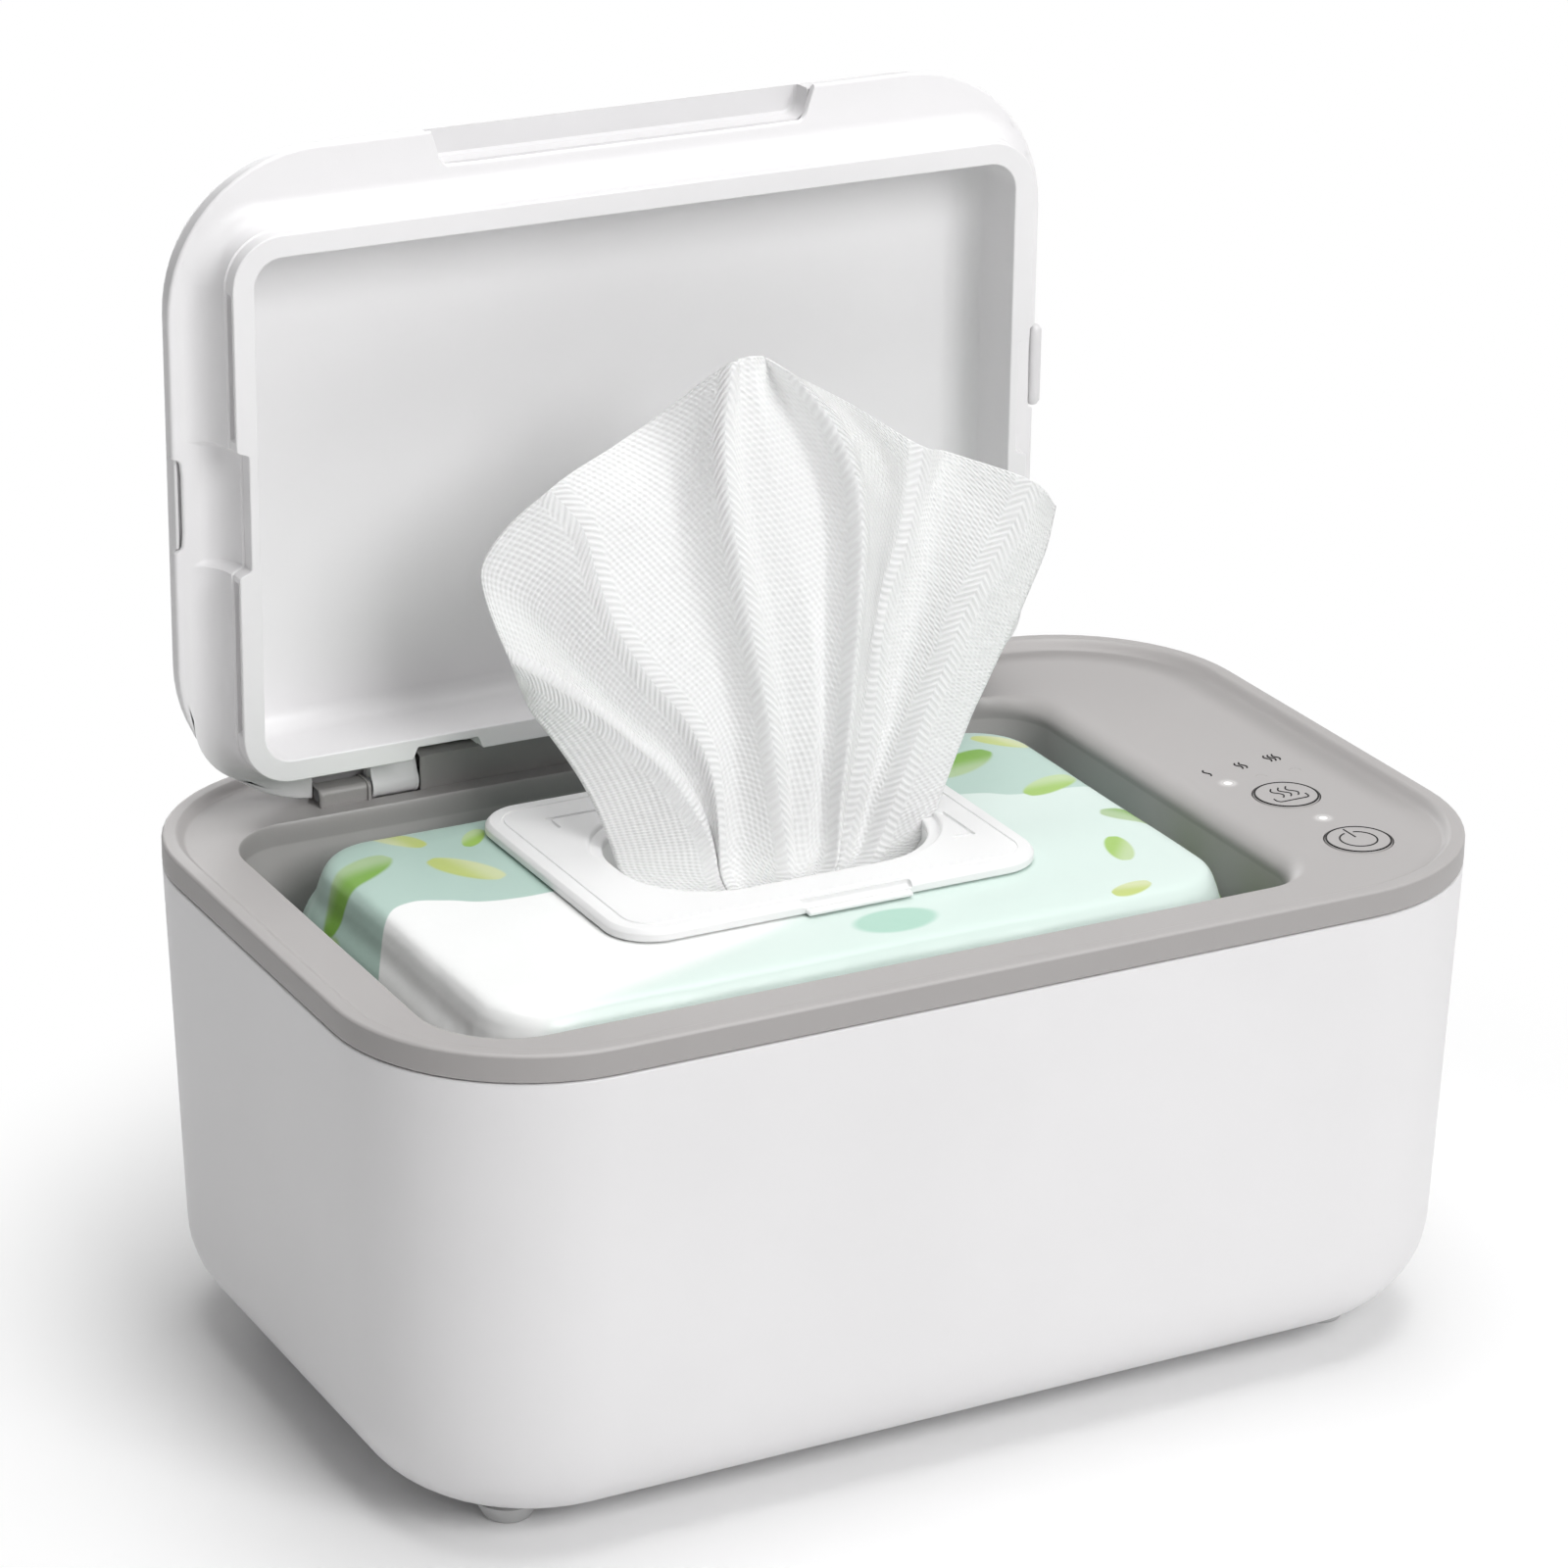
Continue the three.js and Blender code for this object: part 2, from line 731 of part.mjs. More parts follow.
// Keys: a cap in its hole, a flange below the deck that keeps it in, and a rubber dome
const keyRadius = keyHoleRadius - keyGap;
const keyFlangeTop = deckUnder - seamGap;
const keyFlangeBottom = keyFlangeTop - keyFlangeThickness;

function key(y) {
  const top = deckTop + keyProud;
  return turned([
    [0, keyFlangeBottom],
    [keyHoleRadius + keyFlangeWidth, keyFlangeBottom],
    [keyHoleRadius + keyFlangeWidth, keyFlangeTop],
    [keyRadius, keyFlangeTop],
    [keyRadius, top - keyEdgeRound],
    [keyRadius - keyEdgeRound, top],
    [0, top],
  ], keyX, y);
}

function keyDome(y) {
  const bottom = boardTop + seamGap;
  const top = keyFlangeBottom - seamGap;
  return turned([
    [0, top - domeWall],
    [domeTopRadius - domeWall / 2, top - domeWall],
    [domeWaistRadius - domeWall / 2, bottom + domeFootHeight],
    [domeFootRadius - domeWall, bottom],
    [domeFootRadius, bottom],
    [domeFootRadius, bottom + domeFootHeight],
    [domeWaistRadius + domeWall / 2, bottom + domeFootHeight + domeWall],
    [domeTopRadius + domeWall / 2, top],
    [0, top],
  ], keyX, y, smallCircleSteps);
}

// Control board and what is soldered to it
const boardArea = {
  left: well.right + boardFromWell,
  right: bodyLength / 2 - boardFromEnd,
  front: boardFromFront - bodyDepth / 2,
  rear: boardFromFront - bodyDepth / 2 + boardLength,
  corner: boardCornerInset,
};
const boardUnder = boardTop - boardThickness;
const boardMiddleX = (boardArea.left + boardArea.right) / 2;

function controlBoard() {
  const holes = bossPlaces.map(([x, y]) => cylinderZ(
    screwShaftRadius + seamGap, x, y, boardUnder - overrun, boardTop + overrun, smallCircleSteps,
  ));
  return plate(boardArea, boardUnder, boardTop).subtract(joined(holes));
}

const boardScrewBottom = boardUnder - seamGap - screwHeadHeight;

function statusLed(x, y) {
  return box(
    x - ledWidth / 2, x + ledWidth / 2, y - ledWidth / 2, y + ledWidth / 2,
    boardTop + seamGap, boardTop + seamGap + ledHeight,
  );
}

function lightPipe(x, y) {
  const bottom = boardTop + ledHeight + seamGap * 2;
  return cylinderZ(lightRadius, x, y, bottom, deckTop, smallCircleSteps);
}

const socketTop = boardUnder - seamGap;
const socketBottom = socketTop - socketHeight;
const socketYs = [heatKeyY + socketSpacing, heatKeyY];

function boardSocket(y) {
  return box(
    boardMiddleX - socketDepth / 2, boardMiddleX + socketDepth / 2,
    y - socketLength / 2, y + socketLength / 2, socketBottom, socketTop,
  );
}

function controlChip() {
  return box(
    boardMiddleX - chipSize / 2, boardMiddleX + chipSize / 2,
    powerKeyY - chipSize / 2, powerKeyY + chipSize / 2,
    boardUnder - seamGap - chipHeight, boardUnder - seamGap,
  );
}

// Power inlet: flanged barrel with a socket and centre pin, and its nut inside the wall
const jackFaceY = jackSeatY + seamGap + jackFlangeThickness;
const jackTailY = jackFaceY - jackFlangeThickness - jackBodyDepth;
const jackNutRearY = jackWallY - housingWall - seamGap * 2;

function powerJack() {
  const tube = cylinderY(jackThreadRadius, jackNutRearY - jackNutThickness, jackFaceY, jackX, jackHeight);
  const tail = cylinderY(jackBodyRadius, jackTailY, jackFaceY - overrun, jackX, jackHeight);
  const flange = cylinderY(jackFlangeRadius, jackSeatY + seamGap, jackFaceY, jackX, jackHeight);
  const socketEnd = jackFaceY - jackSocketDepth;
  const socket = cylinderY(jackSocketRadius, socketEnd, jackFaceY + overrun, jackX, jackHeight);
  const pin = cylinderY(
    jackPinRadius, socketEnd - overrun, jackFaceY - jackPinSetback, jackX, jackHeight, smallCircleSteps,
  );
  return joined([tube, tail, flange]).subtract(socket).add(pin);
}

function jackNut() {
  const hexSides = 6;
  const radius = jackNutAcross / 2 / Math.cos(Math.PI / hexSides);
  const front = jackNutRearY - jackNutThickness;
  const bore = cylinderY(
    jackThreadRadius + seamGap, front - overrun, jackNutRearY + overrun, jackX, jackHeight,
  );
  return cylinderY(radius, front, jackNutRearY, jackX, jackHeight, hexSides).subtract(bore);
}

// Insulated leads inside the housing, each a tube along a smooth route
function lead(stops) {
  const route = new THREE.CatmullRomCurve3(stops.map((stop) => new THREE.Vector3(...stop)));
  const section = new THREE.Shape();
  for (let i = 0; i < leadSides; i += 1) {
    const angle = (i / leadSides) * fullTurn;
    const place = [leadRadius * Math.cos(angle), leadRadius * Math.sin(angle)];
    if (i) section.lineTo(...place);
    else section.moveTo(...place);
  }
  section.closePath();
  const options = { steps: leadSteps, extrudePath: route, bevelEnabled: false };
  return toSolid(new THREE.ExtrudeGeometry(section, options));
}

const panelWallX = well.right + wellWall;
const endWallX = bodyLength / 2 - housingDraft - housingWall;
const ductX = (panelWallX + endWallX) / 2;

function jackLead() {
  const start = jackTailY - seamGap;
  const bend = leadRadius * 3;
  return lead([
    [jackX, start, jackHeight],
    [jackX, start - bend, jackHeight],
    [jackX + bend, start - bend * 2, jackHeight + leadRadius],
    [well.right - bend, well.rear - bend, jackHeight + leadRadius * 2],
    [ductX - bend * 2, well.rear - bend * 4, wellFloorHeight + bend * 2],
    [boardMiddleX + leadRadius, socketYs[0] + bend * 4, socketBottom - bend * 6],
    [boardMiddleX, socketYs[0] + leadRadius, socketBottom - bend * 2],
    [boardMiddleX, socketYs[0], socketBottom - seamGap],
  ]);
}

function heaterLead() {
  const start = filmTailEnd + seamGap;
  const bend = leadRadius * 3;
  const z = filmTop - filmThickness / 2;
  return lead([
    [start, heatKeyY, z],
    [start + bend, heatKeyY, z],
    [well.right + bend, heatKeyY, z + leadRadius],
    [well.right + bend * 3, heatKeyY, z + bend * 3],
    [boardMiddleX - leadRadius * 2, heatKeyY, socketBottom - bend * 5],
    [boardMiddleX, heatKeyY, socketBottom - bend],
    [boardMiddleX, heatKeyY, socketBottom - seamGap],
  ]);
}

// Lid, shut, about the hinge axis: X as in the body, Y from the axis, Z above the flange
const lidRing = { ...ring, front: ring.front - hingeY, rear: ring.rear - hingeY };
const lidArea = {
  left: lidRing.left - lidSideLand,
  right: lidRing.right + lidRightLand,
  front: lidRing.front - lidFrontLand,
  rear: lidRing.rear + lidSideLand,
  corner: lidCorner,
};
const coverBottom = lidWall + seamGap;

// The cover's ends and front lean in from the flange; its rear stays upright at the hinge
function coverOutline(inset, z) {
  const lean = lidDraft * Math.max(0, z - coverBottom);
  const area = {
    left: lidArea.left + lean,
    right: lidArea.right - lean,
    front: lidArea.front + lean,
    rear: lidArea.rear,
    corner: lidArea.corner - lean / 2,
  };
  return { z, points: outline(area, inset) };
}

function lidBody(inset, bottom, top) {
  const rise = lidHeight - lidTopRound;
  const rings = [coverOutline(inset, bottom)];
  for (let step = 0; step <= roundSteps; step += 1) {
    const angle = (step / roundSteps) * quarterTurn;
    const z = rise + lidTopRound * Math.sin(angle) - (lidHeight - top);
    const draw = lidBackRound * (1 - Math.cos(angle));
    rings.push(coverOutline(inset + draw, z));
  }
  return loft(rings);
}

const fingerArea = {
  left: lidMiddle - fingerLength / 2,
  right: lidMiddle + fingerLength / 2,
  front: lidArea.front - overrun,
  rear: lidArea.front + fingerDepth,
};

function fingerCut(grow, top) {
  return box(
    fingerArea.left - grow, fingerArea.right + grow, fingerArea.front, fingerArea.rear + grow,
    -overrun, top,
  );
}

function hingeCuts() {
  const ends = [lidMiddle - blockLength / 2 - hingeSideGap, lidMiddle + blockLength / 2 + hingeSideGap];
  return { ends, radius: blockRadius + hingeSweepGap, sideRadius: earRadius + hingeSweepGap };
}

function lidCover() {
  const { ends, radius, sideRadius } = hingeCuts();
  const outer = lidBody(0, coverBottom, lidHeight);
  const inner = lidBody(lidWall, coverBottom - overrun, lidHeight - lidWall);
  const walls = [cylinderX(radius + troughWall, ends[0] - troughWall, ends[1] + troughWall)];
  const cuts = [cylinderX(radius, ...ends)];
  for (const { earSpace } of hingeSides) {
    const [from, to] = earSpace;
    walls.push(cylinderX(sideRadius + troughWall, from - troughWall, to + troughWall));
    cuts.push(cylinderX(sideRadius, from, to));
  }
  walls.push(fingerCut(fingerWall, fingerSink + fingerWall));
  cuts.push(fingerCut(0, fingerSink));
  const clips = [-1, 1].map((side) => {
    const edge = side < 0 ? lidArea.left : lidArea.right;
    const span = [edge + side * clipProud, edge - side * clipRoot].sort((a, b) => a - b);
    return box(
      ...span, -clipFromHinge - clipLength / 2, -clipFromHinge + clipLength / 2,
      coverBottom, coverBottom + clipHeight,
    );
  });
  const ribs = joined(walls).intersect(outer);
  const pan = panBody(seamGap, -overrun, lidPanSink + lidPanWall + seamGap);
  return outer.subtract(inner).add(ribs).subtract(pan).subtract(joined(cuts)).add(joined(clips));
}

const ringInner = {
  left: lidRing.left + ringFace,
  right: lidRing.right - ringFace,
  front: lidRing.front + ringFace,
  rear: lidRing.rear - ringFace,
  corner: ringCorner - ringFace,
};

function panBody(grow, bottom, top) {
  return loft([
    { z: bottom, points: outline(ringInner, -lidPanWall - grow) },
    { z: top - lidPanRound, points: outline(ringInner, -lidPanWall - grow) },
    { z: top, points: outline(ringInner, lidPanRound - lidPanWall - grow) },
  ]);
}

function lidLiner() {
  const { ends, radius, sideRadius } = hingeCuts();
  const flange = plate(lidArea, 0, lidWall);
  const step = ringStepHeight - ringDepth;
  const face = plate(lidRing, -ringDepth, step, ringStepWidth);
  const rim = plate(lidRing, step, lidWall / 2);
  const pan = panBody(0, 0, lidPanSink + lidPanWall);
  const recess = loft([
    { z: -ringDepth - overrun, points: outline(ringInner) },
    { z: lidPanSink - lidPanRound, points: outline(ringInner) },
    { z: lidPanSink, points: outline(ringInner, lidPanRound) },
  ]);
  const cuts = [cylinderX(radius, ...ends), fingerCut(0, lidWall + overrun)];
  const knuckles = [];
  for (const { earSpace, knuckle, knuckleSpace } of hingeSides) {
    const outer = earSpace[0] < lidMiddle
      ? [earSpace[0], knuckleSpace[0] + hingeSideGap]
      : [knuckleSpace[1] - hingeSideGap, earSpace[1]];
    cuts.push(cylinderX(sideRadius, ...outer));
    knuckles.push(cylinderX(earRadius, ...knuckle).intersect(box(
      ...knuckle, -earRadius - overrun, earRadius + overrun, -earRadius - overrun, lidWall + overrun,
    )));
  }
  const bores = hingeSides.map(({ knuckleSpace }) => cylinderX(
    pinRadius + pinClearance, ...knuckleSpace, 0, 0, smallCircleSteps,
  ));
  const notchFront = -ringNotchFromHinge - ringNotchLength / 2;
  const notchRear = notchFront + ringNotchLength;
  for (const side of [-1, 1]) {
    const ringEdge = side < 0 ? lidRing.left : lidRing.right;
    const wallEdge = side < 0 ? ringInner.left - ringNotchWall : ringInner.right + ringNotchWall;
    const across = [ringEdge + side * overrun, wallEdge].sort((a, b) => a - b);
    cuts.push(box(...across, notchFront, notchRear, -ringDepth - overrun, 0));
    const lidEdge = side < 0 ? lidArea.left : lidArea.right;
    const clip = [lidEdge + side * overrun, lidEdge - side * clipDepth].sort((a, b) => a - b);
    const clipFront = -clipFromHinge - clipLength / 2 - seamGap;
    cuts.push(box(...clip, clipFront, clipFront + clipLength + seamGap * 2, -overrun, lidWall + overrun));
    const middle = lidMiddle + side * rearNotchOffset;
    cuts.push(box(
      middle - rearNotchLength / 2, middle + rearNotchLength / 2,
      ringInner.rear + ringNotchWall, lidRing.rear + overrun, -ringDepth - overrun, 0,
    ));
  }
  return joined([flange, face, rim, pan])
    .subtract(recess)
    .subtract(joined(cuts))
    .add(joined(knuckles))
    .subtract(joined(bores));
}

// Pack of wipes: a soft film body with a crowned top, drawn-in sides and an open mouth
const packTop = hingeZ - packTopGap - seamGap;
const packArea = {
  left: ring.left + ringFace + packMouthClearance - packBelly,
  right: ring.right - ringFace - packMouthClearance + packBelly,
  front: ring.front + ringFace + packMouthClearance - packBelly,
  rear: ring.rear - ringFace - packMouthClearance + packBelly,
  corner: packCorner,
};
const packMiddle = [(packArea.left + packArea.right) / 2, (packArea.front + packArea.rear) / 2];
const frameArea = {
  left: packMiddle[0] + frameOffsetX - frameLength / 2,
  right: packMiddle[0] + frameOffsetX + frameLength / 2,
  front: packMiddle[1] + frameOffsetY - frameDepth / 2,
  rear: packMiddle[1] + frameOffsetY + frameDepth / 2,
  corner: frameCorner,
};
const frameMiddle = [(frameArea.left + frameArea.right) / 2, (frameArea.front + frameArea.rear) / 2];
const holeMiddle = [frameMiddle[0] + frameHoleOffsetX, frameMiddle[1] + frameHoleOffsetY];
const holeArea = {
  left: holeMiddle[0] - frameHoleLength / 2,
  right: holeMiddle[0] + frameHoleLength / 2,
  front: holeMiddle[1] - frameHoleDepth / 2,
  rear: holeMiddle[1] + frameHoleDepth / 2,
  corner: frameHoleCorner,
};

// Height and inset of the film's rings, as shares of its height and of its smaller half width
const packRingShares = [
  [0, 0.22], [0.03, 0.12], [0.12, 0.035], [0.4, 0], [0.7, 0.012], [0.82, 0.035],
  [0.885, 0.077], [0.93, 0.1], [0.97, 0.135], [0.992, 0.19], [1, 0.3],
];

function packOutline(inset, fullness) {
  const points = outline(packArea, inset);
  const halfX = (packArea.right - packArea.left) / 2;
  const halfY = (packArea.rear - packArea.front) / 2;
  return points.map(([x, y]) => {
    const shareX = (x - packMiddle[0]) / halfX;
    const shareY = (y - packMiddle[1]) / halfY;
    const drawX = packDrawIn * fullness * (1 - Math.min(1, Math.abs(shareY)));
    const drawY = packDrawIn * fullness * (1 - Math.min(1, Math.abs(shareX)));
    return [
      x - Math.sign(shareX) * drawX * Math.abs(shareX),
      y - Math.sign(shareY) * drawY * Math.abs(shareY),
    ];
  });
}

function wipePack() {
  const bottom = wellFloorHeight + seamGap;
  const halfY = (packArea.rear - packArea.front) / 2;
  const rings = packRingShares.map(([rise, inset]) => ({
    z: bottom + rise * (packTop - bottom),
    points: packOutline(inset * halfY, Math.sin(rise * Math.PI)),
  }));
  const mouth = plate(holeArea, packTop - mouthDepth, packTop + overrun, frameHoleStep);
  return loft(rings).subtract(mouth);
}

function packFrame() {
  const bottom = packTop + seamGap;
  const top = bottom + framePlateThickness;
  const solid = loft([
    { z: bottom, points: outline(frameArea, frameEdgeRound) },
    { z: bottom + frameEdgeRound, points: outline(frameArea) },
    { z: top - frameEdgeRound, points: outline(frameArea) },
    { z: top, points: outline(frameArea, frameEdgeRound) },
  ]);
  const hole = plate(holeArea, bottom - overrun, top + overrun, frameHoleStep);
  const step = plate(holeArea, top - frameHoleStepDepth, top + overrun);
  const latchMiddle = frameMiddle[0] + latchOffset;
  const latch = box(
    latchMiddle - latchLength / 2, latchMiddle + latchLength / 2,
    frameArea.front - overrun, frameArea.front + latchDepth,
    bottom + framePlateThickness / 2, top + overrun,
  );
  return solid.subtract(joined([hole, step, latch]));
}

// The wipe: a fan of folds that opens from the mouth, with the outline's places as shares
// of its half span and of its rise, from the left edge over the tip to the right edge
const wipeEdgeShares = [
  [-0.84, 0.46], [-0.93, 0.6], [-0.97, 0.7], [-0.76, 0.8], [-0.46, 0.88], [-0.18, 0.975],
  [0, 1], [0.2, 0.965], [0.42, 0.88], [0.62, 0.775], [0.86, 0.7], [1, 0.635], [0.93, 0.5],
];
const wipeTurnShare = 0.17;
const wipeTipX = packMiddle[0] + wipeTipOffset;
const wipeRootX = holeMiddle[0] + wipeRootOffset;

function alongShares(table, share) {
  const place = share * (table.length - 1);
  const index = Math.min(table.length - 2, Math.floor(place));
  const blend = place - index;
  return table[index].map((value, axis) => value + (table[index + 1][axis] - value) * blend);
}

function wipePoint(across, up, side) {
  const rootZ = packTop - mouthDepth + seamGap + wipeThickness;
  const [edgeX, edgeZ] = alongShares(wipeEdgeShares, across);
  const rootX = wipeRootX + (across - 0.5) * wipeRootSpan;
  const topX = wipeTipX + (edgeX * wipeSpan) / 2;
  const spread = up ** 1.2;
  const x = rootX + (topX - rootX) * spread;
  const z = rootZ + edgeZ * wipeRise * up;
  const fold = Math.cos(across * wipeFoldCount * fullTurn) * wipeFoldDepth;
  const calm = 0.45 + 0.55 * Math.sin(Math.PI * Math.min(1, up * 0.8 + 0.12));
  const facing = holeMiddle[1] + wipeLean * up - wipeTurnShare * (x - wipeRootX);
  const y = facing + fold * calm * (0.45 + 0.55 * up);
  return [x, y + (side * wipeThickness) / 2, z];
}

function wipe() {
  const positions = [];
  const faces = [];
  const columns = wipeColumns + 1;
  const perSide = columns * (wipeRows + 1);
  for (const side of [-1, 1]) {
    for (let row = 0; row <= wipeRows; row += 1) {
      for (let column = 0; column < columns; column += 1) {
        positions.push(...wipePoint(column / wipeColumns, row / wipeRows, side));
      }
    }
  }
  const quad = (a, b, c, d) => faces.push(a, b, c, a, c, d);
  for (let row = 0; row < wipeRows; row += 1) {
    for (let column = 0; column < wipeColumns; column += 1) {
      const a = row * columns + column;
      quad(a, a + 1, a + columns + 1, a + columns);
      const b = a + perSide;
      quad(b, b + columns, b + columns + 1, b + 1);
    }
  }
  for (let column = 0; column < wipeColumns; column += 1) {
    const top = wipeRows * columns + column;
    quad(column + 1, column, column + perSide, column + 1 + perSide);
    quad(top, top + 1, top + 1 + perSide, top + perSide);
  }
  for (let row = 0; row < wipeRows; row += 1) {
    const left = row * columns;
    const right = left + wipeColumns;
    quad(left, left + columns, left + columns + perSide, left + perSide);
    quad(right + columns, right, right + perSide, right + columns + perSide);
  }
  const geometry = new THREE.BufferGeometry();
  geometry.setAttribute('position', new THREE.Float32BufferAttribute(positions, 3));
  geometry.setIndex(faces);
  return toSolid(geometry);
}

// Assembly
const warmer = new THREE.Group();

const base = new THREE.Group();
base.add(part('outer_housing', outerHousing(), whitePlastic));
base.add(part('base_cover', baseCover(), whitePlastic));
screwPlaces.forEach(([x, y], index) => {
  base.add(part(`base_screw_${index + 1}`, screw(x, y, baseScrewBottom, screwLength), steel));
});
for (const [name, [x, y]] of Object.entries(footPlaces)) {
  base.add(part(name, foot(x, y), softRubber));
}
base.add(part('top_deck', topDeck(), greyPlastic));
base.add(part('heat_spreader', plate(heaterArea, spreaderTop - spreaderThickness, spreaderTop), aluminium));
base.add(part('heating_film', heatingFilm(), orangeFilm));
base.add(part('insulation_pad', insulationPad(), greyFoam));
base.add(part('thermal_sensor', cylinderZ(
  sensorRadius, sensorX, sensorY, foamTop - sensorHeight, foamTop, smallCircleSteps,
), darkPlastic));
base.add(part('thermal_fuse', cylinderX(
  fuseRadius, fuseX - fuseLength / 2, fuseX + fuseLength / 2, fuseY, foamTop - fuseRadius, smallCircleSteps,
), steel));
base.add(part('control_board', controlBoard(), greenBoard));
bossPlaces.forEach(([x, y], index) => {
  base.add(part(`board_screw_${index + 1}`, screw(x, y, boardScrewBottom, boardScrewLength), steel));
});
socketYs.forEach((y, index) => {
  base.add(part(`board_socket_${index + 1}`, boardSocket(y), whitePlastic));
});
base.add(part('control_chip', controlChip(), darkPlastic));
for (const [name, x, y] of lightPlaces) {
  base.add(part(`led_${name}`, statusLed(x, y), clearPlastic));
  base.add(part(`light_pipe_${name}`, lightPipe(x, y), clearPlastic));
}
base.add(part('heat_key_dome', keyDome(heatKeyY), softRubber));
base.add(part('power_key_dome', keyDome(powerKeyY), softRubber));
base.add(part('power_jack', powerJack(), darkPlastic));
base.add(part('jack_nut', jackNut(), brass));
base.add(part('jack_lead', jackLead(), leadJacket));
base.add(part('heater_lead', heaterLead(), leadJacket));
hingeSides.forEach(({ pin }, index) => {
  const name = index ? 'hinge_pin_right' : 'hinge_pin_left';
  base.add(part(name, cylinderX(pinRadius, ...pin, hingeY, hingeZ, smallCircleSteps), steel));
});
base.add(part('wipe_pack', wipePack(), mintFilm));
base.add(part('pack_frame', packFrame(), whitePlastic));
base.add(part('wipe', wipe(), wipeCloth));

const keys = new THREE.Group();
for (const [name, y] of Object.entries(keyPlaces)) keys.add(part(name, key(y), greyPlastic));

const lid = new THREE.Group();
lid.add(part('lid_liner', lidLiner(), whitePlastic));
lid.add(part('lid_cover', lidCover(), whitePlastic));
lid.position.set(0, hingeY, hingeZ);
lid.rotation.x = -quarterTurn;

warmer.add(base, keys, lid);

export default warmer;
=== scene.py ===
import math

import bmesh
import bpy
from mathutils import Matrix, Vector, noise


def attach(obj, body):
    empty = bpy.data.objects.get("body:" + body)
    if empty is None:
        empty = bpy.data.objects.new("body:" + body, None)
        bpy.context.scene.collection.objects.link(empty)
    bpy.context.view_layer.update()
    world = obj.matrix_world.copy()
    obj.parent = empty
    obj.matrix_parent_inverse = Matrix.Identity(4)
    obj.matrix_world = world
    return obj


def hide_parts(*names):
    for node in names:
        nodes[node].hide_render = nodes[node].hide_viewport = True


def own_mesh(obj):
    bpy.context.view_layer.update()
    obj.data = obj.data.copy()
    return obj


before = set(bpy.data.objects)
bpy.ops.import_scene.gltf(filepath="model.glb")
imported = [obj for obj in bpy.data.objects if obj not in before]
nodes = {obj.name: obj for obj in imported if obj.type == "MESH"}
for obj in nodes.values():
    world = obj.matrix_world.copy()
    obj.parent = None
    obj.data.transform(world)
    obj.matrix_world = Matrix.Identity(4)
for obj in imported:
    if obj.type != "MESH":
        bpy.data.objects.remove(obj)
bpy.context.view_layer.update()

# Sizes are in millimetres and become metres when a mesh is made
mm = 0.001
hingeY = 58.3
hingeZ = 108.5
lidMiddle = -14.0
# the hinge from the lid's middle outwards: block, knuckle and ear, and the room that the lid leaves round them
hinge = dict(blockEnd=48.4, knuckleEnd=58.6, earEnd=70.9, knuckleRadius=2.9, blockRoom=6.5, earRoom=3.75)


def rectangle(left, right, front, rear, corner):
    return dict(left=left, right=right, front=front, rear=rear, corners=[corner] * 4)


def drawnIn(area, by, corner):
    return rectangle(area["left"] + by, area["right"] - by, area["front"] + by, area["rear"] - by, corner)


bodyArea = rectangle(-122.5, 122.5, -78.7, 78.7, 40)
wellArea = dict(left=-107.8, right=77, front=-64.2, rear=51, corners=[13, 13, 17, 13])
ringCorner, ringFace = 10.5, 4.56
ringArea = rectangle(-103.65, 75.0, -121.5, -8.15, ringCorner)
ringInner = drawnIn(ringArea, ringFace, ringCorner - ringFace)
lidArea = rectangle(-113, 82.5, -135.3, 1.2, 32)
footPlaces = dict(
    front_left=(-93.1, -50.9), front_right=(93.1, -50.9), rear_left=(-93.1, 50.9), rear_right=(93.1, 50.9),
)


def smooth(x, low=0.0, high=1.0):
    t = min(1.0, max(0.0, (x - low) / (high - low)))
    return t * t * (3 - 2 * t)


def band(x, low, high, ramp):
    return smooth(x, low - ramp / 2, low + ramp / 2) * (1 - smooth(x, high - ramp / 2, high + ramp / 2))


def lerp(a, b, t):
    return a + (b - a) * t


def rounded(radius, steps, start=0.0, end=90.0):
    # points of an arc about the origin
    turns = [math.radians(lerp(start, end, k / steps)) for k in range(steps + 1)]
    return [(radius * math.cos(a), radius * math.sin(a)) for a in turns]


def quarterTurns(steps):
    return [math.radians(90 * k / steps) for k in range(steps + 1)]


def circle(radius, steps, x=0.0, y=0.0):
    turns = [2 * math.pi * k / steps for k in range(steps)]
    return [(x + radius * math.cos(a), y + radius * math.sin(a)) for a in turns]


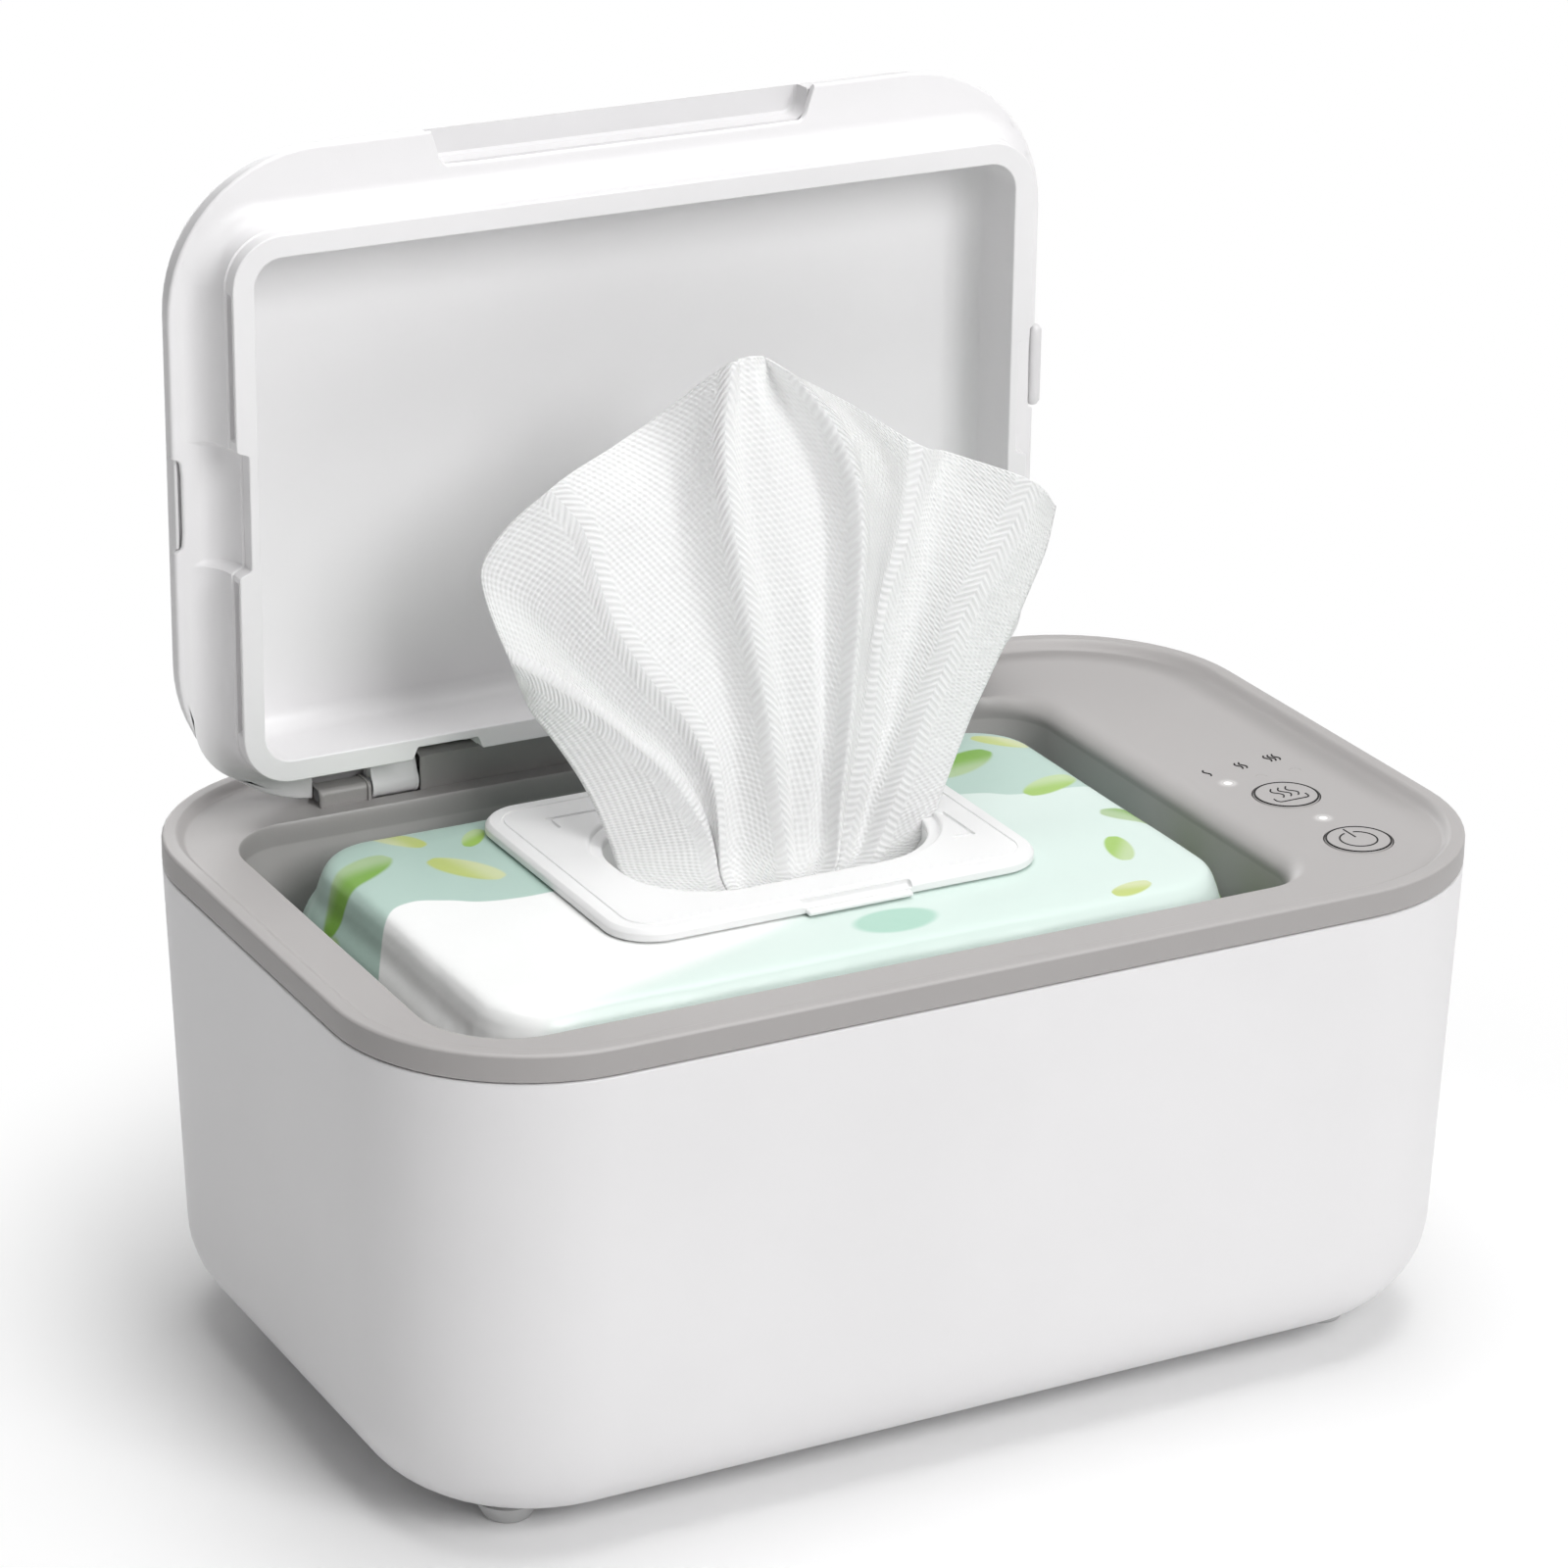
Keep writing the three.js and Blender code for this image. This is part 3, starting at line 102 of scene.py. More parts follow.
def loop(area, inset=0.0, z=0.0, cornerSteps=12, sideSteps=8, stops=None, corners=None):
    # a rounded rectangle drawn in by inset, with the side that each point stands on
    side = inset if isinstance(inset, dict) else dict(left=inset, right=inset, front=inset, rear=inset)
    left, right = area["left"] + side["left"], area["right"] - side["right"]
    front, rear = area["front"] + side["front"], area["rear"] - side["rear"]
    mean = sum(side.values()) / 4
    room = min(right - left, rear - front) / 2
    leastShare = 0.125
    ends = [(right, rear), (left, rear), (left, front), (right, front)]
    arcs = []
    for quarter, (endX, endY) in enumerate(ends):
        corner = (corners or area["corners"])[quarter]
        radius = corner if corners else min(max(corner - mean, corner * leastShare), room)
        x = right - radius if endX == right else left + radius
        y = rear - radius if endY == rear else front + radius
        arc = []
        for step in range(cornerSteps + 1):
            angle = (quarter + step / cornerSteps) * math.pi / 2
            arc.append((x + radius * math.cos(angle), y + radius * math.sin(angle), z, None))
        arcs.append(arc)
    points = []
    for quarter, (arc, name) in enumerate(zip(arcs, ("rear", "left", "front", "right"))):
        points += arc
        start, end = arc[-1], arcs[(quarter + 1) % 4][0]
        if stops and name in stops:
            along = 0 if name in ("front", "rear") else 1
            places = sorted(stops[name], reverse=start[along] > end[along])
            shares = [(place - start[along]) / (end[along] - start[along]) for place in places]
            # stops beyond a short side gather at its ends, in their order
            gap = 0.002
            shares = [min(max(share, gap * (k + 1)), 1 - gap * (len(shares) - k))
                      for k, share in enumerate(shares)]
        else:
            shares = [k / sideSteps for k in range(1, sideSteps)]
        for share in shares:
            points.append((lerp(start[0], end[0], share), lerp(start[1], end[1], share), z, name))
    return points


def pushed(points, side, amount, mask):
    # moves the points of one side inwards by amount times a mask along the side
    inward = dict(left=(1, 0), right=(-1, 0), front=(0, 1), rear=(0, -1))[side]
    along = 0 if side in ("front", "rear") else 1
    moved = []
    for point in points:
        if point[3] == side:
            by = amount * mask(point[along])
            point = (point[0] + inward[0] * by, point[1] + inward[1] * by, point[2], side)
        moved.append(point)
    return moved


def newPiece(name, vertices, edges=(), faces=()):
    mesh = bpy.data.meshes.new(name)
    mesh.from_pydata([(x * mm, y * mm, z * mm) for x, y, z, *_ in vertices], edges, faces)
    piece = bpy.data.objects.new(name, mesh)
    bpy.context.scene.collection.objects.link(piece)
    return piece


def shadeSmooth(piece, smoothFaces=True):
    piece.data.polygons.foreach_set("use_smooth", [smoothFaces] * len(piece.data.polygons))


def makePiece(name, vertices, faces, smoothFaces=True):
    piece = newPiece(name, vertices, faces=faces)
    tidyMesh(piece.data)
    shadeSmooth(piece, smoothFaces)
    return piece


def tidyMesh(mesh):
    work = bmesh.new()
    work.from_mesh(mesh)
    bmesh.ops.remove_doubles(work, verts=work.verts, dist=1e-6)
    bmesh.ops.dissolve_degenerate(work, edges=work.edges, dist=1e-7)
    bmesh.ops.recalc_face_normals(work, faces=work.faces)
    work.to_mesh(mesh)
    work.free()


def bridged(loops, closed=False):
    # faces between loops of equal point count, either joined end to end or with both ends capped
    count = len(loops[0])
    vertices = [point for points in loops for point in points]
    faces = []
    for row in range(len(loops) if closed else len(loops) - 1):
        a, b = row * count, ((row + 1) % len(loops)) * count
        for i in range(count):
            j = (i + 1) % count
            faces.append((a + i, a + j, b + j, b + i))
    if not closed:
        faces.append(tuple(reversed(range(count))))
        faces.append(tuple(range((len(loops) - 1) * count, len(loops) * count)))
    return vertices, faces


def lathe(profile, x, y, steps=48):
    # a turned form about a vertical axis: radius and height from the bottom to the top
    return bridged([[(a, b, z) for a, b in circle(radius, steps, x, y)] for radius, z in profile])


def bar(section, start, end, edge, steps=4):
    # a bar along X with a closed section of (y, z) points and rounded ends
    cy = sum(p[0] for p in section) / len(section)
    cz = sum(p[1] for p in section) / len(section)
    reach = max(math.hypot(y - cy, z - cz) for y, z in section)
    loops = []
    turns = quarterTurns(steps)
    places = [(start + edge * (1 - math.sin(a)), edge * (1 - math.cos(a))) for a in turns]
    places += [(end - edge * (1 - math.sin(a)), edge * (1 - math.cos(a))) for a in reversed(turns)]
    for x, draw in places:
        share = 1 - draw / reach
        loops.append([(x, cy + (y - cy) * share, cz + (z - cz) * share) for y, z in section])
    return bridged(loops)


def rod(start, end, radius, y=0.0, z=0.0, steps=40):
    return bridged([[(x, a, b) for a, b in circle(radius, steps, y, z)] for x in (start, end)])


def block(left, right, front, rear, bottom, top, edge=0.0, steps=3):
    if not edge:
        outline = [(left, front), (right, front), (right, rear), (left, rear)]
        return bridged([[(x, y, z) for x, y in outline] for z in (bottom, top)])
    area = rectangle(left, right, front, rear, edge)
    turns = quarterTurns(steps)
    draws = [(edge * (1 - math.sin(a)), bottom + edge * (1 - math.cos(a))) for a in turns]
    draws += [(edge * (1 - math.sin(a)), top - edge * (1 - math.cos(a))) for a in reversed(turns)]
    leastCorner = 0.05
    return bridged([loop(area, draw, z, cornerSteps=steps, sideSteps=2, corners=[max(leastCorner, edge - draw)] * 4)
                    for draw, z in draws])


def settle(piece):
    # turns a piece with modifiers into a plain mesh
    graph = bpy.context.evaluated_depsgraph_get()
    mesh = bpy.data.meshes.new_from_object(piece.evaluated_get(graph))
    piece.modifiers.clear()
    old = piece.data
    piece.data = mesh
    bpy.data.meshes.remove(old)
    return piece


def carve(piece, cutters):
    for cutter in cutters:
        cut = piece.modifiers.new("carve", "BOOLEAN")
        cut.operation, cut.solver, cut.object = "DIFFERENCE", "EXACT", cutter
    settle(piece)
    for cutter in cutters:
        bpy.data.objects.remove(cutter)
    return piece


def joinMeshes(piece, others):
    work = bmesh.new()
    work.from_mesh(piece.data)
    for other in others:
        work.from_mesh(other.data)
        bpy.data.objects.remove(other)
    work.to_mesh(piece.data)
    work.free()
    return piece


def creased(piece, angle=32):
    # smooth faces with sharp edges kept, and flat faces kept flat
    shadeSmooth(piece)
    piece.data.set_sharp_from_angle(angle=math.radians(angle))
    normals = piece.modifiers.new("normals", "WEIGHTED_NORMAL")
    normals.keep_sharp, normals.weight = True, 50
    return settle(piece)


def hungOnLid(piece):
    # from the shut lid's flat layout, with the hinge at the origin, to the open lid
    piece.data.transform(Matrix(((1, 0, 0, 0), (0, 0, 1, hingeY * mm), (0, -1, 0, hingeZ * mm), (0, 0, 0, 1))))


def bothSides(start, end):
    # the spans from start to end on both sides of the lid's middle
    return [sorted((lidMiddle + side * start, lidMiddle + side * end)) for side in (-1, 1)]


def hingeCutters(earStart):
    # room in the lid for the deck's hinge block, and for its ears or knuckles
    forms = [rod(lidMiddle - hinge["blockEnd"], lidMiddle + hinge["blockEnd"], hinge["blockRoom"])]
    forms += [rod(*ends, hinge["earRoom"]) for ends in bothSides(earStart, hinge["earEnd"])]
    return [makePiece("hingeCutter", *form) for form in forms]


# Shader maths


class Signal:
    # a socket in a material, with the operators that an expression needs
    def __init__(self, tree, socket):
        self.tree, self.socket = tree, socket

    def maths(self, operation, *others, clamp=False):
        settings = dict(operation=operation, use_clamp=clamp)
        return nodeOf(self.tree, "ShaderNodeMath", settings, dict(enumerate((self, *others))))

    def __add__(self, other): return self.maths("ADD", other)
    def __radd__(self, other): return self.maths("ADD", other)
    def __sub__(self, other): return self.maths("SUBTRACT", other)
    def __rsub__(self, other): return self.maths("MULTIPLY_ADD", -1.0, other)
    def __mul__(self, other): return self.maths("MULTIPLY", other)
    def __rmul__(self, other): return self.maths("MULTIPLY", other)
    def __truediv__(self, other): return self.maths("DIVIDE", other)
    def __pow__(self, other): return self.maths("POWER", other)
    def __abs__(self): return self.maths("ABSOLUTE")
    def least(self, other): return self.maths("MINIMUM", other)
    def most(self, other): return self.maths("MAXIMUM", other)
    def clamped(self): return self.maths("ADD", 0.0, clamp=True)
    def sine(self): return self.maths("SINE")
    def root(self): return self.maths("SQRT")

    def between(self, low, high, toLow=0.0, toHigh=1.0):
        settings = dict(interpolation_type="SMOOTHSTEP")
        return nodeOf(self.tree, "ShaderNodeMapRange", settings, {0: self, 1: low, 2: high, 3: toLow, 4: toHigh})


def nodeOf(tree, kind, settings=None, inputs=None, output=0):
    # one shader node: its settings first, then the values or links of its sockets
    node = tree.nodes.new(kind)
    for key, value in (settings or {}).items():
        setattr(node, key, value)
    for key, value in (inputs or {}).items():
        socket = node.inputs[key]
        if isinstance(value, Signal):
            tree.links.new(value.socket, socket)
        elif isinstance(value, (tuple, list)) and len(value) == 3 and len(socket.default_value) == 4:
            socket.default_value = (*value, 1)
        else:
            socket.default_value = value
    if output is None:
        return node
    return Signal(tree, node.outputs[output])


def linear(red, green, blue):
    # a colour as it looks on screen, 0 to 255, in the shader's units
    def one(c):
        c /= 255
        return c / 12.92 if c <= 0.04045 else ((c + 0.055) / 1.055) ** 2.4
    return (one(red), one(green), one(blue))


class Finish:
    # a material with one shader, and short ways to its patterns
    def __init__(self, name, color, roughness, **constants):
        self.material = bpy.data.materials.new(name)
        self.material.use_nodes = True
        self.tree = self.material.node_tree
        self.shader = self.tree.nodes["Principled BSDF"]
        self.shader.inputs["Base Color"].default_value = (*color, 1)
        self.shader.inputs["Roughness"].default_value = roughness
        for key, value in constants.items():
            self.shader.inputs[key.replace("_", " ")].default_value = value
        self.bumps = None

    def place(self, kind="Object"):
        return nodeOf(self.tree, "ShaderNodeTexCoord", output=kind)

    def axes(self, vector):
        return [nodeOf(self.tree, "ShaderNodeSeparateXYZ", inputs={0: vector}, output=k) for k in range(3)]

    def noise(self, scale, detail=2.0, roughness=0.5, vector=None, distortion=0.0):
        inputs = {"Vector": vector or self.place(), "Scale": scale, "Detail": detail, "Roughness": roughness,
                  "Distortion": distortion}
        return nodeOf(self.tree, "ShaderNodeTexNoise", inputs=inputs)

    def stretched(self, scale):
        return nodeOf(self.tree, "ShaderNodeMapping", inputs={"Vector": self.place(), "Scale": scale})

    def feed(self, socket, signal):
        self.tree.links.new(signal.socket, self.shader.inputs[socket])
        return self

    def bump(self, height, distance, strength=1.0):
        inputs = {"Height": height, "Distance": distance, "Strength": strength}
        if self.bumps:
            inputs["Normal"] = self.bumps
        self.bumps = nodeOf(self.tree, "ShaderNodeBump", inputs=inputs)
        return self.feed("Normal", self.bumps)

    def mix(self, share, a, b):
        settings = dict(data_type="RGBA", blend_type="MIX")
        return nodeOf(self.tree, "ShaderNodeMix", settings, {0: share, 6: a, 7: b}, output=2)

    def awayFrom(self, places):
        # distance in millimetres from the nearest of some upright axes
        x, y, _ = self.axes(self.place())
        nearest = None
        for placeX, placeY in places:
            away = ((x - placeX * mm) ** 2.0 + (y - placeY * mm) ** 2.0).root() * 1000
            nearest = away if nearest is None else nearest.least(away)
        return nearest


def mouldedGrain(finish, roughness, grain):
    # the fine grain and broad drift of a moulding, of which the drift is given back
    broad, fine = finish.noise(14, 3, 0.55), finish.noise(1900, 2, 0.6)
    finish.feed("Roughness", (broad * 0.08 + fine * 0.06 + (roughness - 0.07)).clamped())
    finish.bump(fine, grain)
    return broad.between(0.3, 0.7)


def mouldedPlastic(name, color, roughness, grain=0.00001, tint=0.03):
    finish = Finish(name, color, roughness)
    dark = tuple(c * (1 - tint) for c in color)
    finish.feed("Base Color", finish.mix(mouldedGrain(finish, roughness, grain), dark, color))
    return finish


# Materials

whitePlastic = mouldedPlastic("whiteGlossPlastic", linear(225, 224, 225), 0.32)
# painted light: the liner's white is a little lighter than the cover's, to brighten its recess, which lies in shade;
# its satin finish is its own
liningPlastic = mouldedPlastic("whiteSatinPlastic", linear(235, 234, 235), 0.4)
greyPlastic = mouldedPlastic("greySatinPlastic", linear(177, 174, 173), 0.42, grain=0.00002)
rubber = mouldedPlastic("paleRubber", linear(196, 196, 196), 0.7, grain=0.00004, tint=0.08)
blackPlastic = mouldedPlastic("blackPlastic", linear(34, 34, 36), 0.45, grain=0.00002)
packPlastic = mouldedPlastic("packFramePlastic", linear(240, 240, 240), 0.36)
redJacket = mouldedPlastic("redLeadJacket", linear(150, 30, 28), 0.5, tint=0.2)
clearPlastic = Finish("clearPlastic", linear(226, 228, 230), 0.12, Transmission_Weight=0.35, IOR=1.49)
clearPlastic.bump(clearPlastic.noise(700), 0.00002)


def rolledMetal(name, color, roughness, along=(1, 1, 1), depth=0.00002):
    finish = Finish(name, color, roughness, Metallic=1.0)
    lines = finish.noise(900, 2, 0.6, vector=finish.stretched(along))
    spots = finish.noise(60, 4, 0.6)
    finish.feed("Base Color", finish.mix(spots.between(0.35, 0.65), tuple(c * 0.86 for c in color), color))
    finish.feed("Roughness", (lines * 0.15 + (roughness - 0.07)).clamped())
    finish.bump(lines, depth)
    return finish


steel = rolledMetal("zincSteel", linear(196, 198, 200), 0.32, along=(1, 6, 1))
brass = rolledMetal("platedBrass", linear(206, 178, 120), 0.3, along=(1, 8, 1))
aluminium = rolledMetal("rolledAluminium", linear(208, 210, 212), 0.4, along=(0.05, 1, 1))
solderedBoard = Finish("solderMask", linear(30, 96, 56), 0.38)
boardPlace = solderedBoard.axes(solderedBoard.place())
tracks = (boardPlace[0] * 2400).sine().between(0.55, 0.8) * (boardPlace[1] * 700).sine().between(-0.4, 0.1)
solderedBoard.feed("Base Color", solderedBoard.mix(tracks, linear(24, 82, 46), linear(58, 128, 84)))
solderedBoard.bump(tracks, 0.00003)
amberFilm = Finish("amberFilm", linear(196, 120, 36), 0.3)
filmPlace = amberFilm.axes(amberFilm.place())
heaterTrack = abs((filmPlace[1] * 520).sine()).between(0.45, 0.55)
amberFilm.feed("Base Color", amberFilm.mix(heaterTrack, linear(150, 84, 30), linear(206, 130, 44)))
amberFilm.bump(heaterTrack, 0.00004)
foam = Finish("closedCellFoam", linear(112, 114, 116), 0.95)
cells = nodeOf(foam.tree, "ShaderNodeTexVoronoi", dict(feature="F1"), {"Vector": foam.place(), "Scale": 700.0})
foam.feed("Base Color", foam.mix(cells, linear(84, 86, 88), linear(132, 134, 136)))
foam.bump(cells, 0.0003)
print("stage: plain materials")

# Camera, floor and light

view = dict(lens=124.88, place=(-0.48316, -0.89025, 0.52296), yaw=28.12, pitch=21.85, roll=0.77)
yaw, pitch, roll = (math.radians(view[k]) for k in ("yaw", "pitch", "roll"))
ahead = Vector((math.sin(yaw) * math.cos(pitch), math.cos(yaw) * math.cos(pitch), -math.sin(pitch)))
level = Vector((math.cos(yaw), -math.sin(yaw), 0))
upright = level.cross(ahead)
across = level * math.cos(roll) + upright * math.sin(roll)
upwards = -level * math.sin(roll) + upright * math.cos(roll)
cameraData = bpy.data.cameras.new("camera")
cameraData.lens, cameraData.sensor_width, cameraData.sensor_fit = view["lens"], 36, "HORIZONTAL"
cameraData.clip_start, cameraData.clip_end = 0.05, 50
camera = bpy.data.objects.new("camera", cameraData)
camera.matrix_world = Matrix((
    (across.x, upwards.x, -ahead.x, view["place"][0]),
    (across.y, upwards.y, -ahead.y, view["place"][1]),
    (across.z, upwards.z, -ahead.z, view["place"][2]),
    (0, 0, 0, 1),
))
bpy.context.scene.collection.objects.link(camera)
bpy.context.scene.camera = camera
bpy.context.scene.view_settings.view_transform = "Standard"

lamps = dict(
    key=dict(place=(0.3, -1.5, 1.12), size=0.9, power=20.5),
    top=dict(place=(0.1, 0.02, 1.6), size=1.1, power=15),
    left=dict(place=(-1.5, -0.4, 0.25), size=0.9, power=0.9),
    back=dict(place=(0.3, 1.5, 0.4), size=0.8, power=4.5),
)
for name, lamp in lamps.items():
    light = bpy.data.lights.new(name + "Lamp", "AREA")
    light.shape, light.size, light.energy = "SQUARE", lamp["size"], lamp["power"]
    holder = bpy.data.objects.new(name + "Lamp", light)
    holder.location = lamp["place"]
    holder.rotation_euler = (Vector((0, 0, 0.08)) - Vector(lamp["place"])).to_track_quat("-Z", "Y").to_euler()
    bpy.context.scene.collection.objects.link(holder)

sky = dict(light=0.14, backdrop=1.0)
world = bpy.data.worlds.new("studio")
bpy.context.scene.world = world
world.use_nodes = True
worldTree = world.node_tree
seen = nodeOf(worldTree, "ShaderNodeLightPath", output=None)
camRay, glossyRay, clearRay = (Signal(worldTree, seen.outputs[k]) for k in (
    "Is Camera Ray", "Is Glossy Ray", "Is Transmission Ray"))
shown = camRay.most(glossyRay * 0.75).most(clearRay)
strength = shown * (sky["backdrop"] - sky["light"]) + sky["light"]
worldTree.links.new(strength.socket, worldTree.nodes["Background"].inputs["Strength"])
worldTree.nodes["Background"].inputs["Color"].default_value = (1, 1, 1, 1)

ground = dict(reach=3000, thickness=20, middle=(20, -20), plainFrom=145, plainTo=235)
reach = ground["reach"]
floorPiece = makePiece("floor", *block(-reach, reach, -reach, reach, -ground["thickness"], 0), smoothFaces=False)
floorFinish = Finish("paleFloor", (0.9, 0.9, 0.9), 0.8)
floorDrift = floorFinish.noise(3).between(0.3, 0.7)
floorFinish.feed("Base Color", floorFinish.mix(floorDrift, (0.93, 0.93, 0.93), (0.95, 0.95, 0.95)))
floorTree = floorFinish.tree
# away from the object the camera sees plain white
farOut = floorFinish.awayFrom([ground["middle"]]).between(ground["plainFrom"], ground["plainTo"])
plainShare = nodeOf(floorTree, "ShaderNodeLightPath", output=0) * farOut
plainWhite = nodeOf(floorTree, "ShaderNodeEmission", inputs={"Color": (1, 1, 1), "Strength": 1.0}, output=0)
pick = nodeOf(floorTree, "ShaderNodeMixShader", inputs={
    0: plainShare, 1: Signal(floorTree, floorFinish.shader.outputs[0]), 2: plainWhite})
floorTree.links.new(pick.socket, floorTree.nodes["Material Output"].inputs[0])
floorPiece.data.materials.append(floorFinish.material)
print("stage: camera, floor and light")


def handOver(piece, body, finish, slot, *replaced):
    # gives a finished piece its material and body
    piece.data.materials.clear()
    piece.data.materials.append(finish.material)
    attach(piece, body)
    if replaced:
        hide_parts(*replaced)
    return piece


# Outer housing

housing = dict(
    bottom=4, top=102.2, wall=2.4, draft=2.8, bottomRound=21, topEdge=0.5, coverInset=34, coverCorner=14,
    flange=4.3, flangeRecess=1.5, roundSteps=14, innerSteps=8, outerRows=(32, 45, 60, 75, 90), innerRows=(90, 60, 32),
    jack=dict(x=60, z=32, beyond=4, cuts=[("seatCutter", 6.3, 1.2), ("holeCutter", 4.4, 6)]),
    stem=[(2.7, 2), (2.7, 10)],
)


def housingInset(z):
    roundTop = housing["bottom"] + housing["bottomRound"]
    if z < roundTop:
        below = roundTop - z
        radius = housing["bottomRound"]
        return housing["draft"] + radius - math.sqrt(max(0, radius ** 2 - below ** 2))
    return housing["draft"] * (housing["top"] - z) / (housing["top"] - roundTop)


def makeHousing():
    h = housing
    coverArea = drawnIn(bodyArea, h["coverInset"], h["coverCorner"])
    roundTop = h["bottom"] + h["bottomRound"]
    loops = [
        loop(coverArea, 0, h["bottom"] + h["wall"]),
        loop(coverArea, 0, h["bottom"] + h["flangeRecess"]),
        loop(coverArea, -h["flange"], h["bottom"] + h["flangeRecess"]),
        loop(coverArea, -h["flange"], h["bottom"]),
        loop(bodyArea, h["draft"] + h["bottomRound"] + 1, h["bottom"]),
    ]
    for turn in quarterTurns(h["roundSteps"]):
        z = roundTop - h["bottomRound"] * math.cos(turn)
        loops.append(loop(bodyArea, h["draft"] + h["bottomRound"] * (1 - math.sin(turn)), z))
    for z in (*h["outerRows"], h["top"] - 1.5):
        loops.append(loop(bodyArea, housingInset(z), z))
    for a, b in rounded(h["topEdge"], 3):
        z = h["top"] - h["topEdge"] + b
        loops.append(loop(bodyArea, housingInset(z) + h["topEdge"] - a, z))
    loops.append(loop(bodyArea, h["wall"], h["top"]))
    for z in h["innerRows"]:
        loops.append(loop(bodyArea, housingInset(z) + h["wall"], z))
    inner = h["bottomRound"] - h["wall"]
    for turn in reversed(quarterTurns(h["innerSteps"])):
        z = roundTop - inner * math.cos(turn)
        loops.append(loop(bodyArea, h["draft"] + h["wall"] + inner * (1 - math.sin(turn)), z))
    piece = makePiece("outer_housing_shell", *bridged(loops, closed=True))
    jack = h["jack"]
    jackWall = bodyArea["rear"] - housingInset(jack["z"])
    cutters = []
    for name, radius, depth in jack["cuts"]:
        section = circle(radius, 48, jack["x"], jack["z"])
        loops = [[(x, y, z) for x, z in section] for y in (jackWall - depth, jackWall + jack["beyond"])]
        cutters.append(makePiece(name, *bridged(loops)))
    for x, y in sorted(footPlaces.values()):
        cutters.append(makePiece("stemCutter", *lathe(h["stem"], x, y, 24)))
    carve(piece, cutters)
    creased(piece)
    return handOver(piece, "base", whitePlastic, "white_plastic", "outer_housing")


makeHousing()
print("stage: housing")

# Deck with its well, rim and hinge ears

deck = dict(
    rimBottom=102.5, rimTop=108.1, rimRound=0.8, footRound=0.4, top=106.5, under=104.1, lipFlat=2.6, lipEnd=5.4,
    valleyEnd=106.0,
    valley=[(14, 7.8, 106.5), (11.5, 7.4, 106.3), (9.2, 7.0, 106.0), (7.4, 6.6, 105.85), (6.2, 6.1, 105.88)],
    skirtDepth=8, skirtInset=2.98, skirtWall=2, floor=40, floorRound=6, draft=1.2, wellWall=2.2, edgeDrop=4,
    rolls=dict(left=1.2, right=6, front=0.8, rear=0.7), rollSteps=12, floorSteps=6, floorInsets=(46, 20),
    wellRows=(60, 75, 90, 98), underRows=(90, 60), lipSteps=8, hollowSlant=1.4, hollowFrom=20, hollowTo=70,
    keyHole=7.15, lightHole=1.25, holesFrom=103, holesTo=108, earEdge=0.9, blockEdge=1.2, tuck=0.6,
    bosses=dict(x=(84.3, 104.7), y=(-38.4, 0), profile=[(2.8, 97.3), (2.8, 104.4)], steps=24),
    columns=dict(x=(-79.5, 68), y=(-35.7, 35.7), profile=[(3.5, 7.3), (3.5, 38.2)], steps=32),
    blockHalf=48, blockRadius=6, blockFront=2.8, blockRear=3.7, earRadius=3.4, earTop=110.3, earCorner=1.5,
    earStart=59, earEnd=70.5, knuckleRoom=3.4, knuckleEnd=59, bedHalf=4.9, bedBottom=101.5, bedTop=104.4, sunk=0.6,
)
keyPlaces = dict(heat_button=(96.2, -25.0), power_button=(96.2, -51.8))
lightPlaces = dict(level_1=(88.9, -14.1), level_2=(97.1, -14.1), level_3=(105.3, -14.1), power=(96.2, -38.8))


